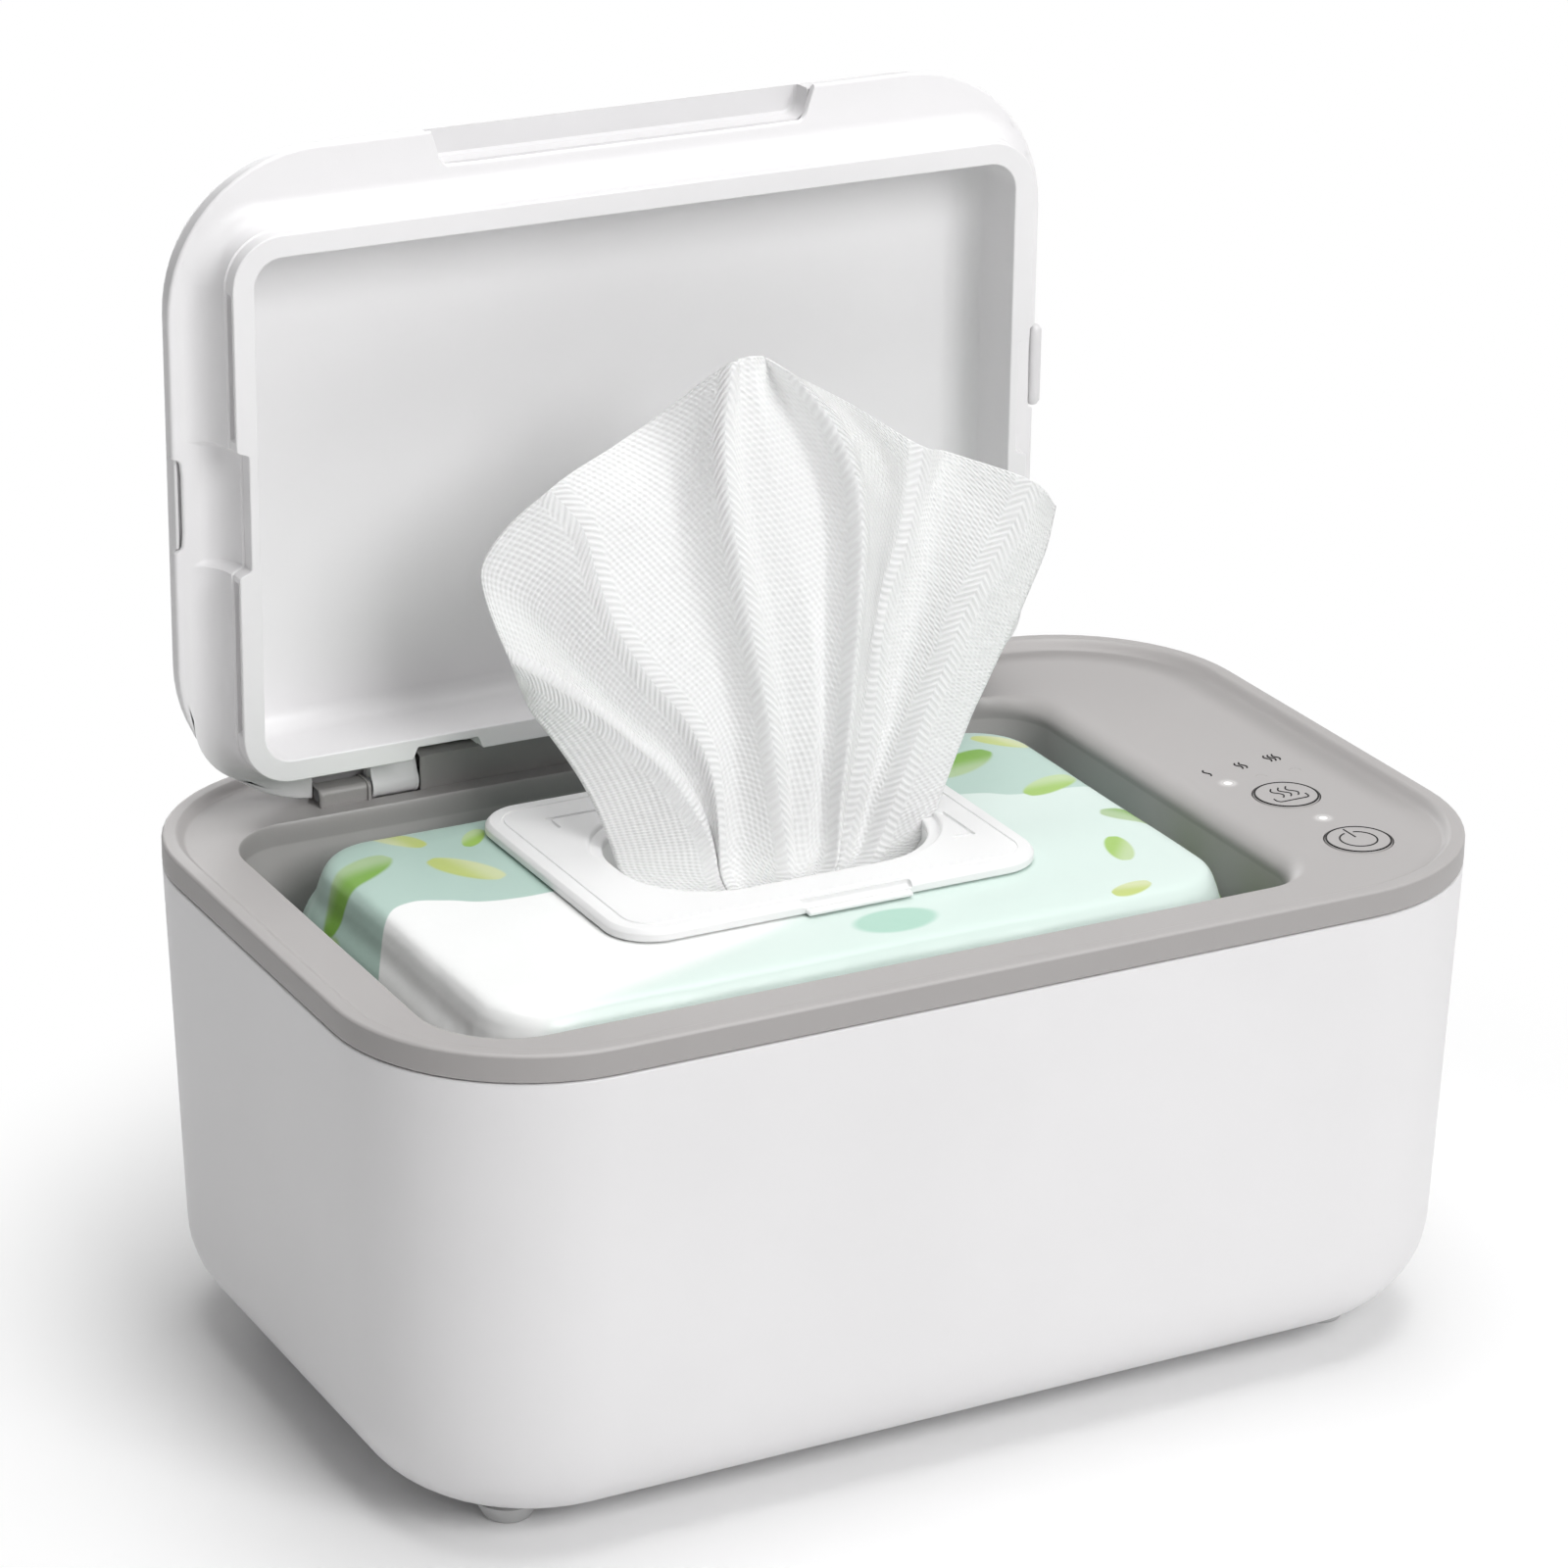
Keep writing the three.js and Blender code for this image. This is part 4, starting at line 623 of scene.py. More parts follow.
def makeDeck():
    d = deck
    depth = d["top"] - d["floor"]

    def ring(area, inset, z):
        return loop(area, inset, z, cornerSteps=16, sideSteps=12)

    def drafted(z):
        return d["draft"] * (1 - (z - d["floor"]) / depth)

    def hollowed(x, y, z):
        # the hollow beside the lip is at the right and rear only
        return lerp(d["top"], z, smooth(x + y * d["hollowSlant"], d["hollowFrom"], d["hollowTo"]))

    loops = [ring(wellArea, inset, d["floor"]) for inset in d["floorInsets"]]
    for turn in quarterTurns(d["floorSteps"]):
        rise = d["floorRound"] * (1 - math.cos(turn))
        inset = d["floorRound"] * (1 - math.sin(turn)) + d["draft"] * (1 - rise / depth)
        loops.append(ring(wellArea, inset, d["floor"] + rise))
    for z in d["wellRows"]:
        loops.append(ring(wellArea, drafted(z), z))
    for turn in quarterTurns(d["rollSteps"]):
        roll = {side: -size * (1 - math.cos(turn)) for side, size in d["rolls"].items()}
        loops.append(ring(wellArea, roll, d["top"] - d["edgeDrop"] * (1 - math.sin(turn))))
    loops.append(ring(wellArea, {side: -size - d["tuck"] for side, size in d["rolls"].items()}, d["top"]))
    for broad, narrow, z in d["valley"]:
        points = ring(bodyArea, dict(left=narrow, right=broad, front=narrow, rear=broad), z)
        loops.append([(x, y, hollowed(x, y, z)) for x, y, z, _ in points])
    for k in range(d["lipSteps"] + 1):
        share = k / d["lipSteps"]
        inset, height = lerp(d["lipEnd"], d["lipFlat"], share), lerp(d["valleyEnd"], d["rimTop"], smooth(share))
        loops.append([(x, y, max(z, hollowed(x, y, z))) for x, y, z, _ in ring(bodyArea, inset, height)])
    for a, b in reversed(rounded(d["rimRound"], 6)):
        loops.append(ring(bodyArea, d["rimRound"] - a, d["rimTop"] - d["rimRound"] + b))
    loops.append(ring(bodyArea, 0, d["rimBottom"] + 0.9))
    for a, b in rounded(d["footRound"], 3):
        loops.append(ring(bodyArea, d["footRound"] - a, d["rimBottom"] + d["footRound"] - b))
    skirtBottom, skirtInner = d["rimBottom"] - d["skirtDepth"], d["skirtInset"] + d["skirtWall"]
    for inset, z in ((d["skirtInset"], d["rimBottom"]), (d["skirtInset"], skirtBottom), (skirtInner, skirtBottom),
                     (skirtInner, d["under"])):
        loops.append(ring(bodyArea, inset, z))
    loops.append(ring(wellArea, -d["wellWall"], d["under"]))
    under = d["floor"] - d["wellWall"]
    for z in d["underRows"]:
        loops.append(ring(wellArea, drafted(z) - d["wellWall"], z))
    radius = d["floorRound"] + d["wellWall"]
    for turn in reversed(quarterTurns(d["floorSteps"])):
        rise = radius * (1 - math.cos(turn))
        loops.append(ring(wellArea, radius * (1 - math.sin(turn)) + d["draft"] - d["wellWall"], under + rise))
    loops.append(ring(wellArea, d["floorInsets"][0], under))
    piece = makePiece("top_deck_moulding", *bridged(loops))
    cutters = []
    for name, places, hole, steps in (("keyCutter", keyPlaces, d["keyHole"], 64),
                                      ("lightCutter", lightPlaces, d["lightHole"], 24)):
        for x, y in places.values():
            cutters.append(makePiece(name, *lathe([(hole, d["holesFrom"]), (hole, d["holesTo"])], x, y, steps)))
    for ends in bothSides(d["blockHalf"], d["knuckleEnd"]):
        cutters.append(makePiece("knuckleCutter", *rod(*ends, d["knuckleRoom"], hingeY, hingeZ)))
    carve(piece, cutters)
    # bosses and columns under the deck, and the raised hinge ears and block
    extras = []
    for name in ("bosses", "columns"):
        post = d[name]
        extras += [makePiece(name, *lathe(post["profile"], x, y, post["steps"])) for x in post["x"] for y in post["y"]]
    low, corner = d["under"] + d["sunk"], d["earCorner"]
    r, top = d["earRadius"], d["earTop"]
    section = [(hingeY + r, low)]
    section += [(hingeY + r - corner + corner * a, top - corner + corner * b) for a, b in rounded(1, 6)]
    section += [(hingeY - r + corner + corner * a, top - corner + corner * b) for a, b in rounded(1, 6, 90, 180)]
    section += [(hingeY - r, low)]
    ears, beds = bothSides(d["earStart"], d["earEnd"]), bothSides(d["blockHalf"], d["earStart"])
    for ear, bed in zip(ears, beds):
        extras.append(makePiece("ear", *bar(section, *ear, d["earEdge"])))
        extras.append(makePiece("bed", *block(*bed, hingeY - d["bedHalf"], hingeY + d["bedHalf"],
                                              d["bedBottom"], d["bedTop"])))
    radius = d["blockRadius"]
    frontTurn = math.degrees(math.acos(-d["blockFront"] / radius))
    rearTurn = math.degrees(math.acos(d["blockRear"] / radius))
    section = [(hingeY + d["blockRear"], low)]
    section += [(hingeY + y, hingeZ + z) for y, z in rounded(radius, 12, rearTurn, frontTurn)]
    section.append((hingeY - d["blockFront"], low))
    ends = (lidMiddle - d["blockHalf"], lidMiddle + d["blockHalf"])
    extras.append(makePiece("block", *bar(section, *ends, d["blockEdge"])))
    joinMeshes(piece, extras)
    creased(piece)
    return handOver(piece, "base", greyPlastic, "grey_plastic", "top_deck")


topDeck = makeDeck()
print("stage: deck")

# Lid liner with its plug ring and recess

liner = dict(
    wall=2.0, fillets=dict(left=6.4, right=4.6, front=4.8, rear=3.4), cornerEase=0.45,
    flare=dict(left=0.5, right=0.3, front=0.4, rear=0.3), ringDepth=10.6, faceEdge=0.35, shelf=3.4,
    groove=dict(depth=2.0, bottom=0.85, ramp=1.2, spans=[(-109.8, -81.1), (-50.9, -19.8)]),
    panFloor=6.4, panWall=1.8, panFillet=4.5, panBackFillet=3, panMiddle=14,
    notchRamp=1.4, notchInset=2.56, notchCentre=-65.8, notchLength=24.8, rearNotch=45.25, rearNotchLength=14.5,
    clips=dict(left=dict(centre=-65.8, length=19.6, depth=1.9, ramp=2.4),
               right=dict(centre=-68.2, length=18.6, depth=1.2, ramp=2)),
    fingerLeft=-56, fingerRight=28, fingerDepth=7.2, fingerRamp=3.2,
    edge=[(1.1, 0), (0.6, 0), (0.3, 0.08), (0.1, 0.27), (0, 0.6), (0.25, 1.1), (0.9, 1.9), (1.3, 2.0)],
    knuckleSkirt=[(-9.5, 1.9), (-9.5, 0.02), (-7.2, -0.3), (-5.2, -0.85), (-3.7, -1.5)], knuckleTop=1.9,
    knuckleEdge=0.6, panSteps=8, filletSteps=10, backSteps=6,
    # stops between the ones that the notches, clips and grooves need
    sideStops=[-104, -97, -90, -72, -60, -45, -38, -31, -24], rearStops=[-76, -45, -30, -14, 2, 15, 46],
    frontStops=[-76, -66, -46, -36, -25, -14, -3, 8, 18, 38, 46],
)


def spanAbout(centre, length):
    return centre - length / 2, centre + length / 2


sideNotchSpan = spanAbout(liner["notchCentre"], liner["notchLength"])
rearNotchSpans = [spanAbout(lidMiddle + s * liner["rearNotch"], liner["rearNotchLength"]) for s in (-1, 1)]


def stopsAround(places, ramp=liner["notchRamp"]):
    return sorted({round(place + ramp * (k / 4 - 0.5), 4) for place in places for k in range(5)})


def linerStops():
    n = liner
    stops = {}
    for side, clip in n["clips"].items():
        places = stopsAround(sideNotchSpan) + stopsAround(spanAbout(clip["centre"], clip["length"]), clip["ramp"])
        for span in n["groove"]["spans"]:
            places += stopsAround(span, n["groove"]["ramp"])
        stops[side] = sorted(set(places + n["sideStops"]))
    rearStops = [place for span in rearNotchSpans for place in stopsAround(span)]
    stops["rear"] = sorted(set(rearStops + n["rearStops"]))
    fingerStops = stopsAround((n["fingerLeft"] + 1, n["fingerRight"] - 1), n["fingerRamp"])
    stops["front"] = sorted(fingerStops + n["frontStops"])
    return stops


def makeLiner():
    n = liner
    stops = linerStops()
    sides = list(n["fillets"])

    def sideNotch(y):
        return band(y, *sideNotchSpan, n["notchRamp"])

    def rearNotch(x):
        return max(band(x, *span, n["notchRamp"]) for span in rearNotchSpans)

    def quarterRound(near):
        # how deep a span with quarter-round ends is, near its end
        return math.sqrt(max(0, 1 - (1 - min(1, max(0, near))) ** 2))

    def fingerNotch(x):
        return quarterRound(min(x - n["fingerLeft"], n["fingerRight"] - x) / n["fingerRamp"])

    def clipNotch(clip):
        return lambda y: quarterRound((clip["length"] / 2 - abs(y - clip["centre"])) / clip["ramp"])

    def grooved(y):
        return max(band(y, *span, n["groove"]["ramp"]) for span in n["groove"]["spans"])

    def plain(area, inset, z):
        return loop(area, inset, z, cornerSteps=14, stops=stops)

    def ringWall(inset, z, notched):
        points = plain(ringArea, inset, z)
        draw = inset if isinstance(inset, dict) else dict.fromkeys(n["fillets"], inset)
        for side in ("left", "right"):
            points = pushed(points, side, notched - draw[side], sideNotch)
        return pushed(points, "rear", notched - draw["rear"], rearNotch)

    def flangeEdge(inset, z):
        points = plain(lidArea, inset, z)
        for side, clip in n["clips"].items():
            points = pushed(points, side, clip["depth"], clipNotch(clip))
        return pushed(points, "front", n["fingerDepth"], fingerNotch)

    def filletLoop(turn):
        # each side sweeps out from the ring to the flange on its own radius
        points = plain(ringArea, {side: -n["flare"][side] - (f - n["flare"][side]) * (1 - math.cos(turn))
                                  for side, f in n["fillets"].items()}, 0)
        for side in ("left", "right"):
            points = pushed(points, side, n["notchInset"], sideNotch)
        points = pushed(points, "rear", n["notchInset"], rearNotch)
        swept = []
        for x, y, _, side in points:
            radius = n["fillets"].get(side)
            if radius is None:
                middleX = (ringArea["left"] + ringArea["right"]) / 2
                middleY = (ringArea["front"] + ringArea["rear"]) / 2
                sideX, sideY = "right" if x > middleX else "left", "rear" if y > middleY else "front"
                inward = ringArea["corners"][0]
                awayX = inward + abs(x - middleX) - (ringArea["right"] - ringArea["left"]) / 2
                awayY = inward + abs(y - middleY) - (ringArea["rear"] - ringArea["front"]) / 2
                turned = math.atan2(max(0.001, awayY), max(0.001, awayX)) / (math.pi / 2)
                radius = lerp(n["fillets"][sideX], n["fillets"][sideY], turned)
                if (sideX, sideY) == ("left", "front"):
                    # the well's rounder corner leaves less room here
                    radius *= 1 - n["cornerEase"] * math.sin(math.pi * turned)
            swept.append((x, y, -min(radius + 0.5, -shelf) * (1 - math.sin(turn)), side))
        return swept

    bottom = -n["ringDepth"]
    shelf = bottom + n["shelf"]
    loops = [plain(ringInner, n["panMiddle"], n["panFloor"])]
    for turn in quarterTurns(n["panSteps"]):
        z = n["panFloor"] - n["panFillet"] * (1 - math.cos(turn))
        loops.append(plain(ringInner, n["panFillet"] * (1 - math.sin(turn)), z))
    e = n["faceEdge"]
    loops.append(plain(ringInner, 0, bottom + e + 0.8))
    for a, b in rounded(e, 4):
        loops.append(plain(ringInner, -(e - a), bottom + e - b))
    for a, b in reversed(rounded(e, 4)):
        loops.append(ringWall(e - a, bottom + e - b, n["notchInset"] + e - a))
    groove = n["groove"]
    low, high = bottom + groove["bottom"], shelf - 0.25
    for z, share in ((low, 0), (low + 0.05, 0.9), (low + 0.3, 1), (high - 0.4, 1), (high - 0.05, 0.9), (high, 0)):
        points = ringWall(0, z, n["notchInset"])
        for side in ("left", "right"):
            points = pushed(points, side, groove["depth"] * share, grooved)
        loops.append(points)
    for share, z in ((0, shelf - 0.12), (0.3, shelf), (0.8, shelf + 0.1)):
        loops.append(ringWall({side: -n["flare"][side] * share for side in sides}, z, n["notchInset"]))
    loops += [filletLoop(turn) for turn in quarterTurns(n["filletSteps"])]
    loops += [flangeEdge(inset, z) for inset, z in n["edge"]]
    loops.append(plain(ringInner, -n["panWall"], n["wall"]))
    top, radius = n["panFloor"] + n["panWall"], n["panBackFillet"]
    for turn in reversed(quarterTurns(n["backSteps"])):
        z = top - radius * (1 - math.cos(turn))
        loops.append(plain(ringInner, radius * (1 - math.sin(turn)) - n["panWall"], z))
    loops.append(plain(ringInner, n["panMiddle"], top))
    piece = makePiece("lid_liner_moulding", *bridged(loops))
    carve(piece, hingeCutters(hinge["knuckleEnd"]))
    radius = hinge["knuckleRadius"]
    section = list(n["knuckleSkirt"])
    section += [(radius * math.cos(math.radians(t)), radius * math.sin(math.radians(t))) for t in range(225, 391, 11)]
    section += [(radius, n["knuckleTop"])]
    joinMeshes(piece, [makePiece("knuckle", *bar(section, *ends, n["knuckleEdge"]))
                       for ends in bothSides(hinge["blockEnd"], hinge["knuckleEnd"])])
    hungOnLid(piece)
    creased(piece)
    return handOver(piece, "lid", liningPlastic, "white_plastic", "lid_liner")


makeLiner()
print("stage: lid liner")

# Lid cover

cover = dict(
    bottom=2.12, height=11.5, wall=2.0, topRound=6, backRound=6.5, fingerSink=7,
    base=dict(left=1.1, right=1.1, front=1.1, rear=0.3), lean=dict(left=0.55, right=0.55, front=0.4, rear=0),
    leftClip=dict(left=-112.2, right=-111.3, bottom=1.3, top=4.2), rightClip=dict(x=83.2, z=1.5, radius=1.5),
    clipGap=0.3, blockTrough=(49.8, 7.9), earTrough=(57.2, 72.3, 5.3), panRoom=[(-2.1, -1), (-2.1, 5.5), (0.9, 8.5)],
    rim=[(0.25, 0), (0, 0.3), (0, 1)], backInsets=(1.5, 25), fingerWall=2, fingerEdge=0.6, below=3,
)


def makeCover():
    c, n = cover, liner
    rise = c["height"] - c["topRound"]

    def body(inset, bottom, top, steps):
        def drawn(extra, z):
            share = (z - c["bottom"]) / c["height"]
            side = {name: inset + base + c["lean"][name] * share + extra for name, base in c["base"].items()}
            return loop(lidArea, side, z, cornerSteps=16)

        loops = [drawn(extra, bottom + above) for extra, above in c["rim"]]
        for turn in quarterTurns(steps):
            z = rise + c["topRound"] * math.sin(turn) - (c["height"] - top)
            loops.append(drawn(c["backRound"] * (1 - math.cos(turn)), z))
        return bridged(loops + [drawn(c["backRound"] + inset, top) for inset in c["backInsets"]])

    piece = makePiece("lid_cover_shell", *body(0, c["bottom"], c["height"], 12))
    inner = makePiece("coverHollow", *body(c["wall"], c["bottom"] - 1, c["height"] - c["wall"], 6))
    left, right = n["fingerLeft"], n["fingerRight"]
    front = lidArea["front"]
    sink, depth, wall, below, edge = c["fingerSink"], n["fingerDepth"], c["fingerWall"], c["below"], c["fingerEdge"]
    walls = [makePiece("fingerWalls", *block(
        left - wall, right + wall, front - below, front + depth + wall, -below, sink + wall))]
    half, room = c["blockTrough"]
    walls.append(makePiece("trough", *rod(lidMiddle - half, lidMiddle + half, room)))
    *span, room = c["earTrough"]
    walls += [makePiece("trough", *rod(*ends, room)) for ends in bothSides(*span)]
    carve(inner, walls)
    cutters = [inner, *hingeCutters(hinge["blockEnd"])]
    cutters.append(makePiece("panCutter", *bridged([loop(ringInner, inset, z) for inset, z in c["panRoom"]])))
    fingerEnds = rectangle(left, right, front - 2 * below, front + depth, n["fingerRamp"])
    fingerLoops = [loop(fingerEnds, inset, z) for inset, z in ((0, -below), (0, sink - edge), (edge, sink))]
    cutters.append(makePiece("fingerCutter", *bridged(fingerLoops)))
    carve(piece, cutters)
    leftClip, rightClip, gap = c["leftClip"], c["rightClip"], c["clipGap"]
    spans = {side: spanAbout(clip["centre"], clip["length"]) for side, clip in n["clips"].items()}
    spans = {side: (start + gap, end - gap) for side, (start, end) in spans.items()}
    start, end = spans["right"]
    capsule = []
    for turn in range(0, 181, 15):
        # round ends along the lid's side
        place = lerp(start, end, 0.5) - (end - start) / 2 * math.cos(math.radians(turn))
        near = min(place - start, end - place) / rightClip["radius"]
        radius = rightClip["radius"] * math.sqrt(max(0.01, 1 - (1 - min(1, near)) ** 2))
        capsule.append([(x, place, z) for x, z in circle(radius, 24, rightClip["x"], rightClip["z"])])
    clips = [block(leftClip["left"], leftClip["right"], *spans["left"], leftClip["bottom"], leftClip["top"], edge=0.4),
             bridged(capsule)]
    joinMeshes(piece, [makePiece("clip", *form) for form in clips])
    hungOnLid(piece)
    creased(piece)
    return handOver(piece, "lid", whitePlastic, "white_plastic", "lid_cover")


makeCover()
print("stage: lid cover")

# Pack of wipes: printed film, mouth frame and the wipe that is pulled up

pack = dict(
    left=-100.9, right=72.9, front=-60.7, rear=47.6, corner=20, drawIn=1.6, bottom=40.3, top=105.4, mouthDepth=10.3,
    shares=[(0, 0.22), (0.03, 0.12), (0.12, 0.035), (0.4, 0), (0.7, 0.012), (0.82, 0.035), (0.885, 0.077),
            (0.93, 0.097), (0.97, 0.122), (0.992, 0.17), (1, 0.28)],
    rowsPerShare=6, topRows=8, slack=0.5, slackScale=0.03, slackWaves=[(1, 0.35, 1), (3.1, 0.3, 0.35)],
    shoulder=(0.74, 0.8, 0.955), pleatFade=1.6, pleatWander=2.2, pleatBend=5, pleatSharpness=1.5,
    pleats=[dict(x=-94, y=-46, reach=34, pitch=6.3, depth=1.0), dict(x=70, y=-54, reach=20, pitch=4.2, depth=0.8),
            dict(x=-96, y=40, reach=20, pitch=5.2, depth=0.7), dict(x=66, y=42, reach=18, pitch=5, depth=0.6)],
)
mouth = dict(x=-11.3, y=0.3, length=72, depth=46, corner=21, step=2.6, stepDepth=1.2)
holeArea = rectangle(*spanAbout(mouth["x"], mouth["length"]), *spanAbout(mouth["y"], mouth["depth"]), mouth["corner"])


def rowsAt(table, place):
    # the row before a place counted in rows, how far the place is past it, and the four rows round it
    last = len(table) - 1
    k = min(last - 1, max(0, int(place)))
    return k, place - k, zip(*(table[min(last, max(0, k + d))] for d in (-1, 0, 1, 2)))


def alongTable(table, place):
    # a smooth curve through the rows of a table
    _, t, rows = rowsAt(table, place)
    return [0.5 * (2 * q + (r - p) * t + (2 * p - 5 * q + 4 * r - s) * t * t + (3 * q - p - 3 * r + s) * t ** 3)
            for p, q, r, s in rows]


def makePack():
    p = pack
    area = rectangle(p["left"], p["right"], p["front"], p["rear"], p["corner"])
    middleX, middleY = (p["left"] + p["right"]) / 2, (p["front"] + p["rear"]) / 2
    halfX, halfY = (p["right"] - p["left"]) / 2, (p["rear"] - p["front"]) / 2
    steps = dict(cornerSteps=24, sideSteps=36)

    def outline(inset, z, fullness):
        points = []
        for x, y, height, _ in loop(area, inset, z, **steps):
            shareX, shareY = (x - middleX) / halfX, (y - middleY) / halfY
            x -= shareX * p["drawIn"] * fullness * (1 - min(1, abs(shareY)))
            y -= shareY * p["drawIn"] * fullness * (1 - min(1, abs(shareX)))
            points.append((x, y, height))
        return points

    loops = []
    rows = (len(p["shares"]) - 1) * p["rowsPerShare"]
    for row in range(rows + 1):
        rise, inset = alongTable(p["shares"], row / p["rowsPerShare"])
        rise = min(1, max(0, rise))
        loops.append(outline(inset * halfY, lerp(p["bottom"], p["top"], rise), math.sin(rise * math.pi)))
    edge = loops[-1]
    hole = [q[:3] for q in loop(holeArea, mouth["step"], p["top"], **steps)]
    for k in range(1, p["topRows"] + 1):
        share = k / p["topRows"]
        loops.append([tuple(lerp(a, b, share) for a, b in zip(one, other)) for one, other in zip(edge, hole)])
    mouthBottom = p["top"] - p["mouthDepth"]
    for z, share in ((p["top"] - 0.5, 1), (p["top"] - p["mouthDepth"] / 2, 1), (mouthBottom, 1), (mouthBottom, 0.3)):
        loops.append([(mouth["x"] + (x - mouth["x"]) * share, mouth["y"] + (y - mouth["y"]) * share, z)
                      for x, y, _ in hole])
    lengths = [0]
    widest = loops[p["rowsPerShare"] * 3]
    for one, other in zip(widest, widest[1:]):
        lengths.append(lengths[-1] + math.dist(one, other))
    count = len(widest)
    piece = makePiece("pack_film_body", *bridged(loops))
    mesh = piece.data
    # the film is slack, and gathers into pleats round its corners
    for i, vertex in enumerate(mesh.vertices):
        x, y, z = (c / mm for c in vertex.co)
        rise = (z - p["bottom"]) / (p["top"] - p["bottom"])
        if i >= rows * count or rise < 0.02:
            continue
        normal = mesh.vertex_normals[i].vector
        place = vertex.co / p["slackScale"]
        push = sum((noise.noise(place * often) - below) * p["slack"] * share for often, below, share in p["slackWaves"])
        low, middle, high = p["shoulder"]
        onShoulder = smooth(rise, low - 0.25, low) * (1 - smooth(rise, middle, high))
        for pleat in p["pleats"]:
            away = ((x - pleat["x"]) ** 2 + (y - pleat["y"]) ** 2) / pleat["reach"] ** 2
            near = math.exp(-away * p["pleatFade"])
            along = lengths[i % count] + p["pleatWander"] * noise.noise(Vector((x / 19, y / 19, z / 30)))
            bend = p["pleatBend"] * noise.noise(Vector((x / 40, y / 40, 3)))
            wave = abs(math.sin(math.pi * along / pleat["pitch"] + bend))
            push -= pleat["depth"] * near * onShoulder * (1 - wave) ** p["pleatSharpness"]
        vertex.co += normal * min(0.25, push) * (1 - smooth(rise, 0.96, 0.995)) * mm
    return piece


# print of the film: bands of colour with soft wavy edges, and drops strewn over them
film = Finish("printedFilm", linear(246, 247, 246), 0.33, Coat_Weight=0.15, Coat_Roughness=0.22)
filmPrint = dict(
    white=linear(249, 250, 249), mint=linear(216, 233, 226), teal=linear(182, 208, 198), deepMint=linear(158, 206, 186),
    greens=[linear(122, 172, 62), linear(158, 196, 92), linear(192, 206, 122)],
    drops=[(-90, 24, 20, 0.5, 0), (-76, 36, 14, 2.1, 2), (-70, 16, 18, 5.3, 2), (-62, 30, 10, 0.9, 1),
           (-101, 14, 12, 1.2, 1), (46, 22, 20, 3.6, 0), (60, 30, 13, 5.5, 2), (57, 4, 16, 0.4, 1),
           (66, -18, 18, 2.6, 0), (52, -32, 13, 4.4, 1), (68, -44, 12, 1.4, 0), (44, -50, 10, 0.2, 2)],
    tealEdge=[(-106, -14.4), (-100.8, -6.7), (-93.8, 2.0), (-87.5, 5.5), (-80.5, 3.3), (-74.2, -0.4), (-66.9, -1.9),
              (-60.5, -2.0), (-20, 2), (20, 4), (34, 7.5), (41.4, 6.1), (47.8, 2.2), (56, 1), (74, 4)],
    reachX=120, reachY=60, patch=dict(x=-6, y=-44, wide=0.115, deep=0.2), bareX=(39, 40), bareY=(28, 29),
)
filmX, filmY, filmZ = (axis * 1000 for axis in film.axes(film.place()))
drift = film.noise(14, 1, 0.4)
wave = (filmX * 0.055 + 0.6).sine() * 6 + (drift - 0.5) * 14
reachX, reachY = filmPrint["reachX"], filmPrint["reachY"]
curvePlace = (filmX + reachX) / (2 * reachX)
edgeCurve = nodeOf(film.tree, "ShaderNodeFloatCurve", inputs={"Value": curvePlace}, output=None)
edgePoints = edgeCurve.mapping.curves[0].points
edgePlaces = [((x + reachX) / (2 * reachX), (y + reachY) / (2 * reachY)) for x, y in filmPrint["tealEdge"]]
for place in edgePlaces[1:-1]:
    edgePoints.new(*place)
edgePoints[0].location, edgePoints[-1].location = (0, edgePlaces[0][1]), (1, edgePlaces[-1][1])
edgeCurve.mapping.update()
edgeY = Signal(film.tree, edgeCurve.outputs[0]) * (2 * reachY) - reachY
tealShare = (filmY - edgeY).between(-0.35, 0.35)
mintShare = ((filmX + 60) * 0.4 - filmY - 46 + wave * 0.5).most(filmX - 2).between(-3.0, 4.0)
sweep = film.mix(mintShare, filmPrint["white"], filmPrint["mint"])
paleWaves = (filmX * 0.05 - filmY * 0.09).sine() * 0.5 + 0.5
sweep = film.mix(paleWaves * mintShare * 0.35, sweep, linear(224, 236, 231))
sweep = film.mix(tealShare, sweep, filmPrint["teal"])
patch = filmPrint["patch"]
patchX, patchY = (filmX - patch["x"]) * patch["wide"], (filmY - patch["y"]) * patch["deep"]
onPatch = (patchX ** 2.0 + patchY ** 2.0).between(0.75, 1.3, 1, 0)
sweep = film.mix(onPatch * 0.8, sweep, filmPrint["deepMint"])
for x, y, size, turn, shade in filmPrint["drops"]:
    c, s = math.cos(turn) / size, math.sin(turn) / size
    along = (filmX - x) * c + (filmY - y) * s
    aside = (filmY - y) * c - (filmX - x) * s
    width = (0.5 - along).most(0.02).root() * (along + 0.5).most(0.0).root() * 0.42
    body = abs(along).between(0.46, 0.5, 1, 0) * (abs(aside) - width).between(-0.03, 0.03, 1, 0)
    green = filmPrint["greens"][shade]
    tone = film.mix((aside * 5 + along * 2).between(-0.6, 0.9), green, tuple(lerp(g, 0.9, 0.3) for g in green))
    sweep = film.mix(body * filmZ.between(60, 80), sweep, tone)
underFrame = (abs(filmX - mouth["x"]).between(*filmPrint["bareX"], 1, 0)
              * abs(filmY - mouth["y"]).between(*filmPrint["bareY"], 1, 0))
film.feed("Base Color", film.mix(underFrame, sweep, filmPrint["white"]))
film.bump(film.noise(60, 4, 0.55, distortion=0.4), 0.0007, 0.5)
film.bump(film.noise(420, 2, 0.5), 0.00004, 0.6)
handOver(makePack(), "base", film, "pack_film", "wipe_pack")
print("stage: pack film")

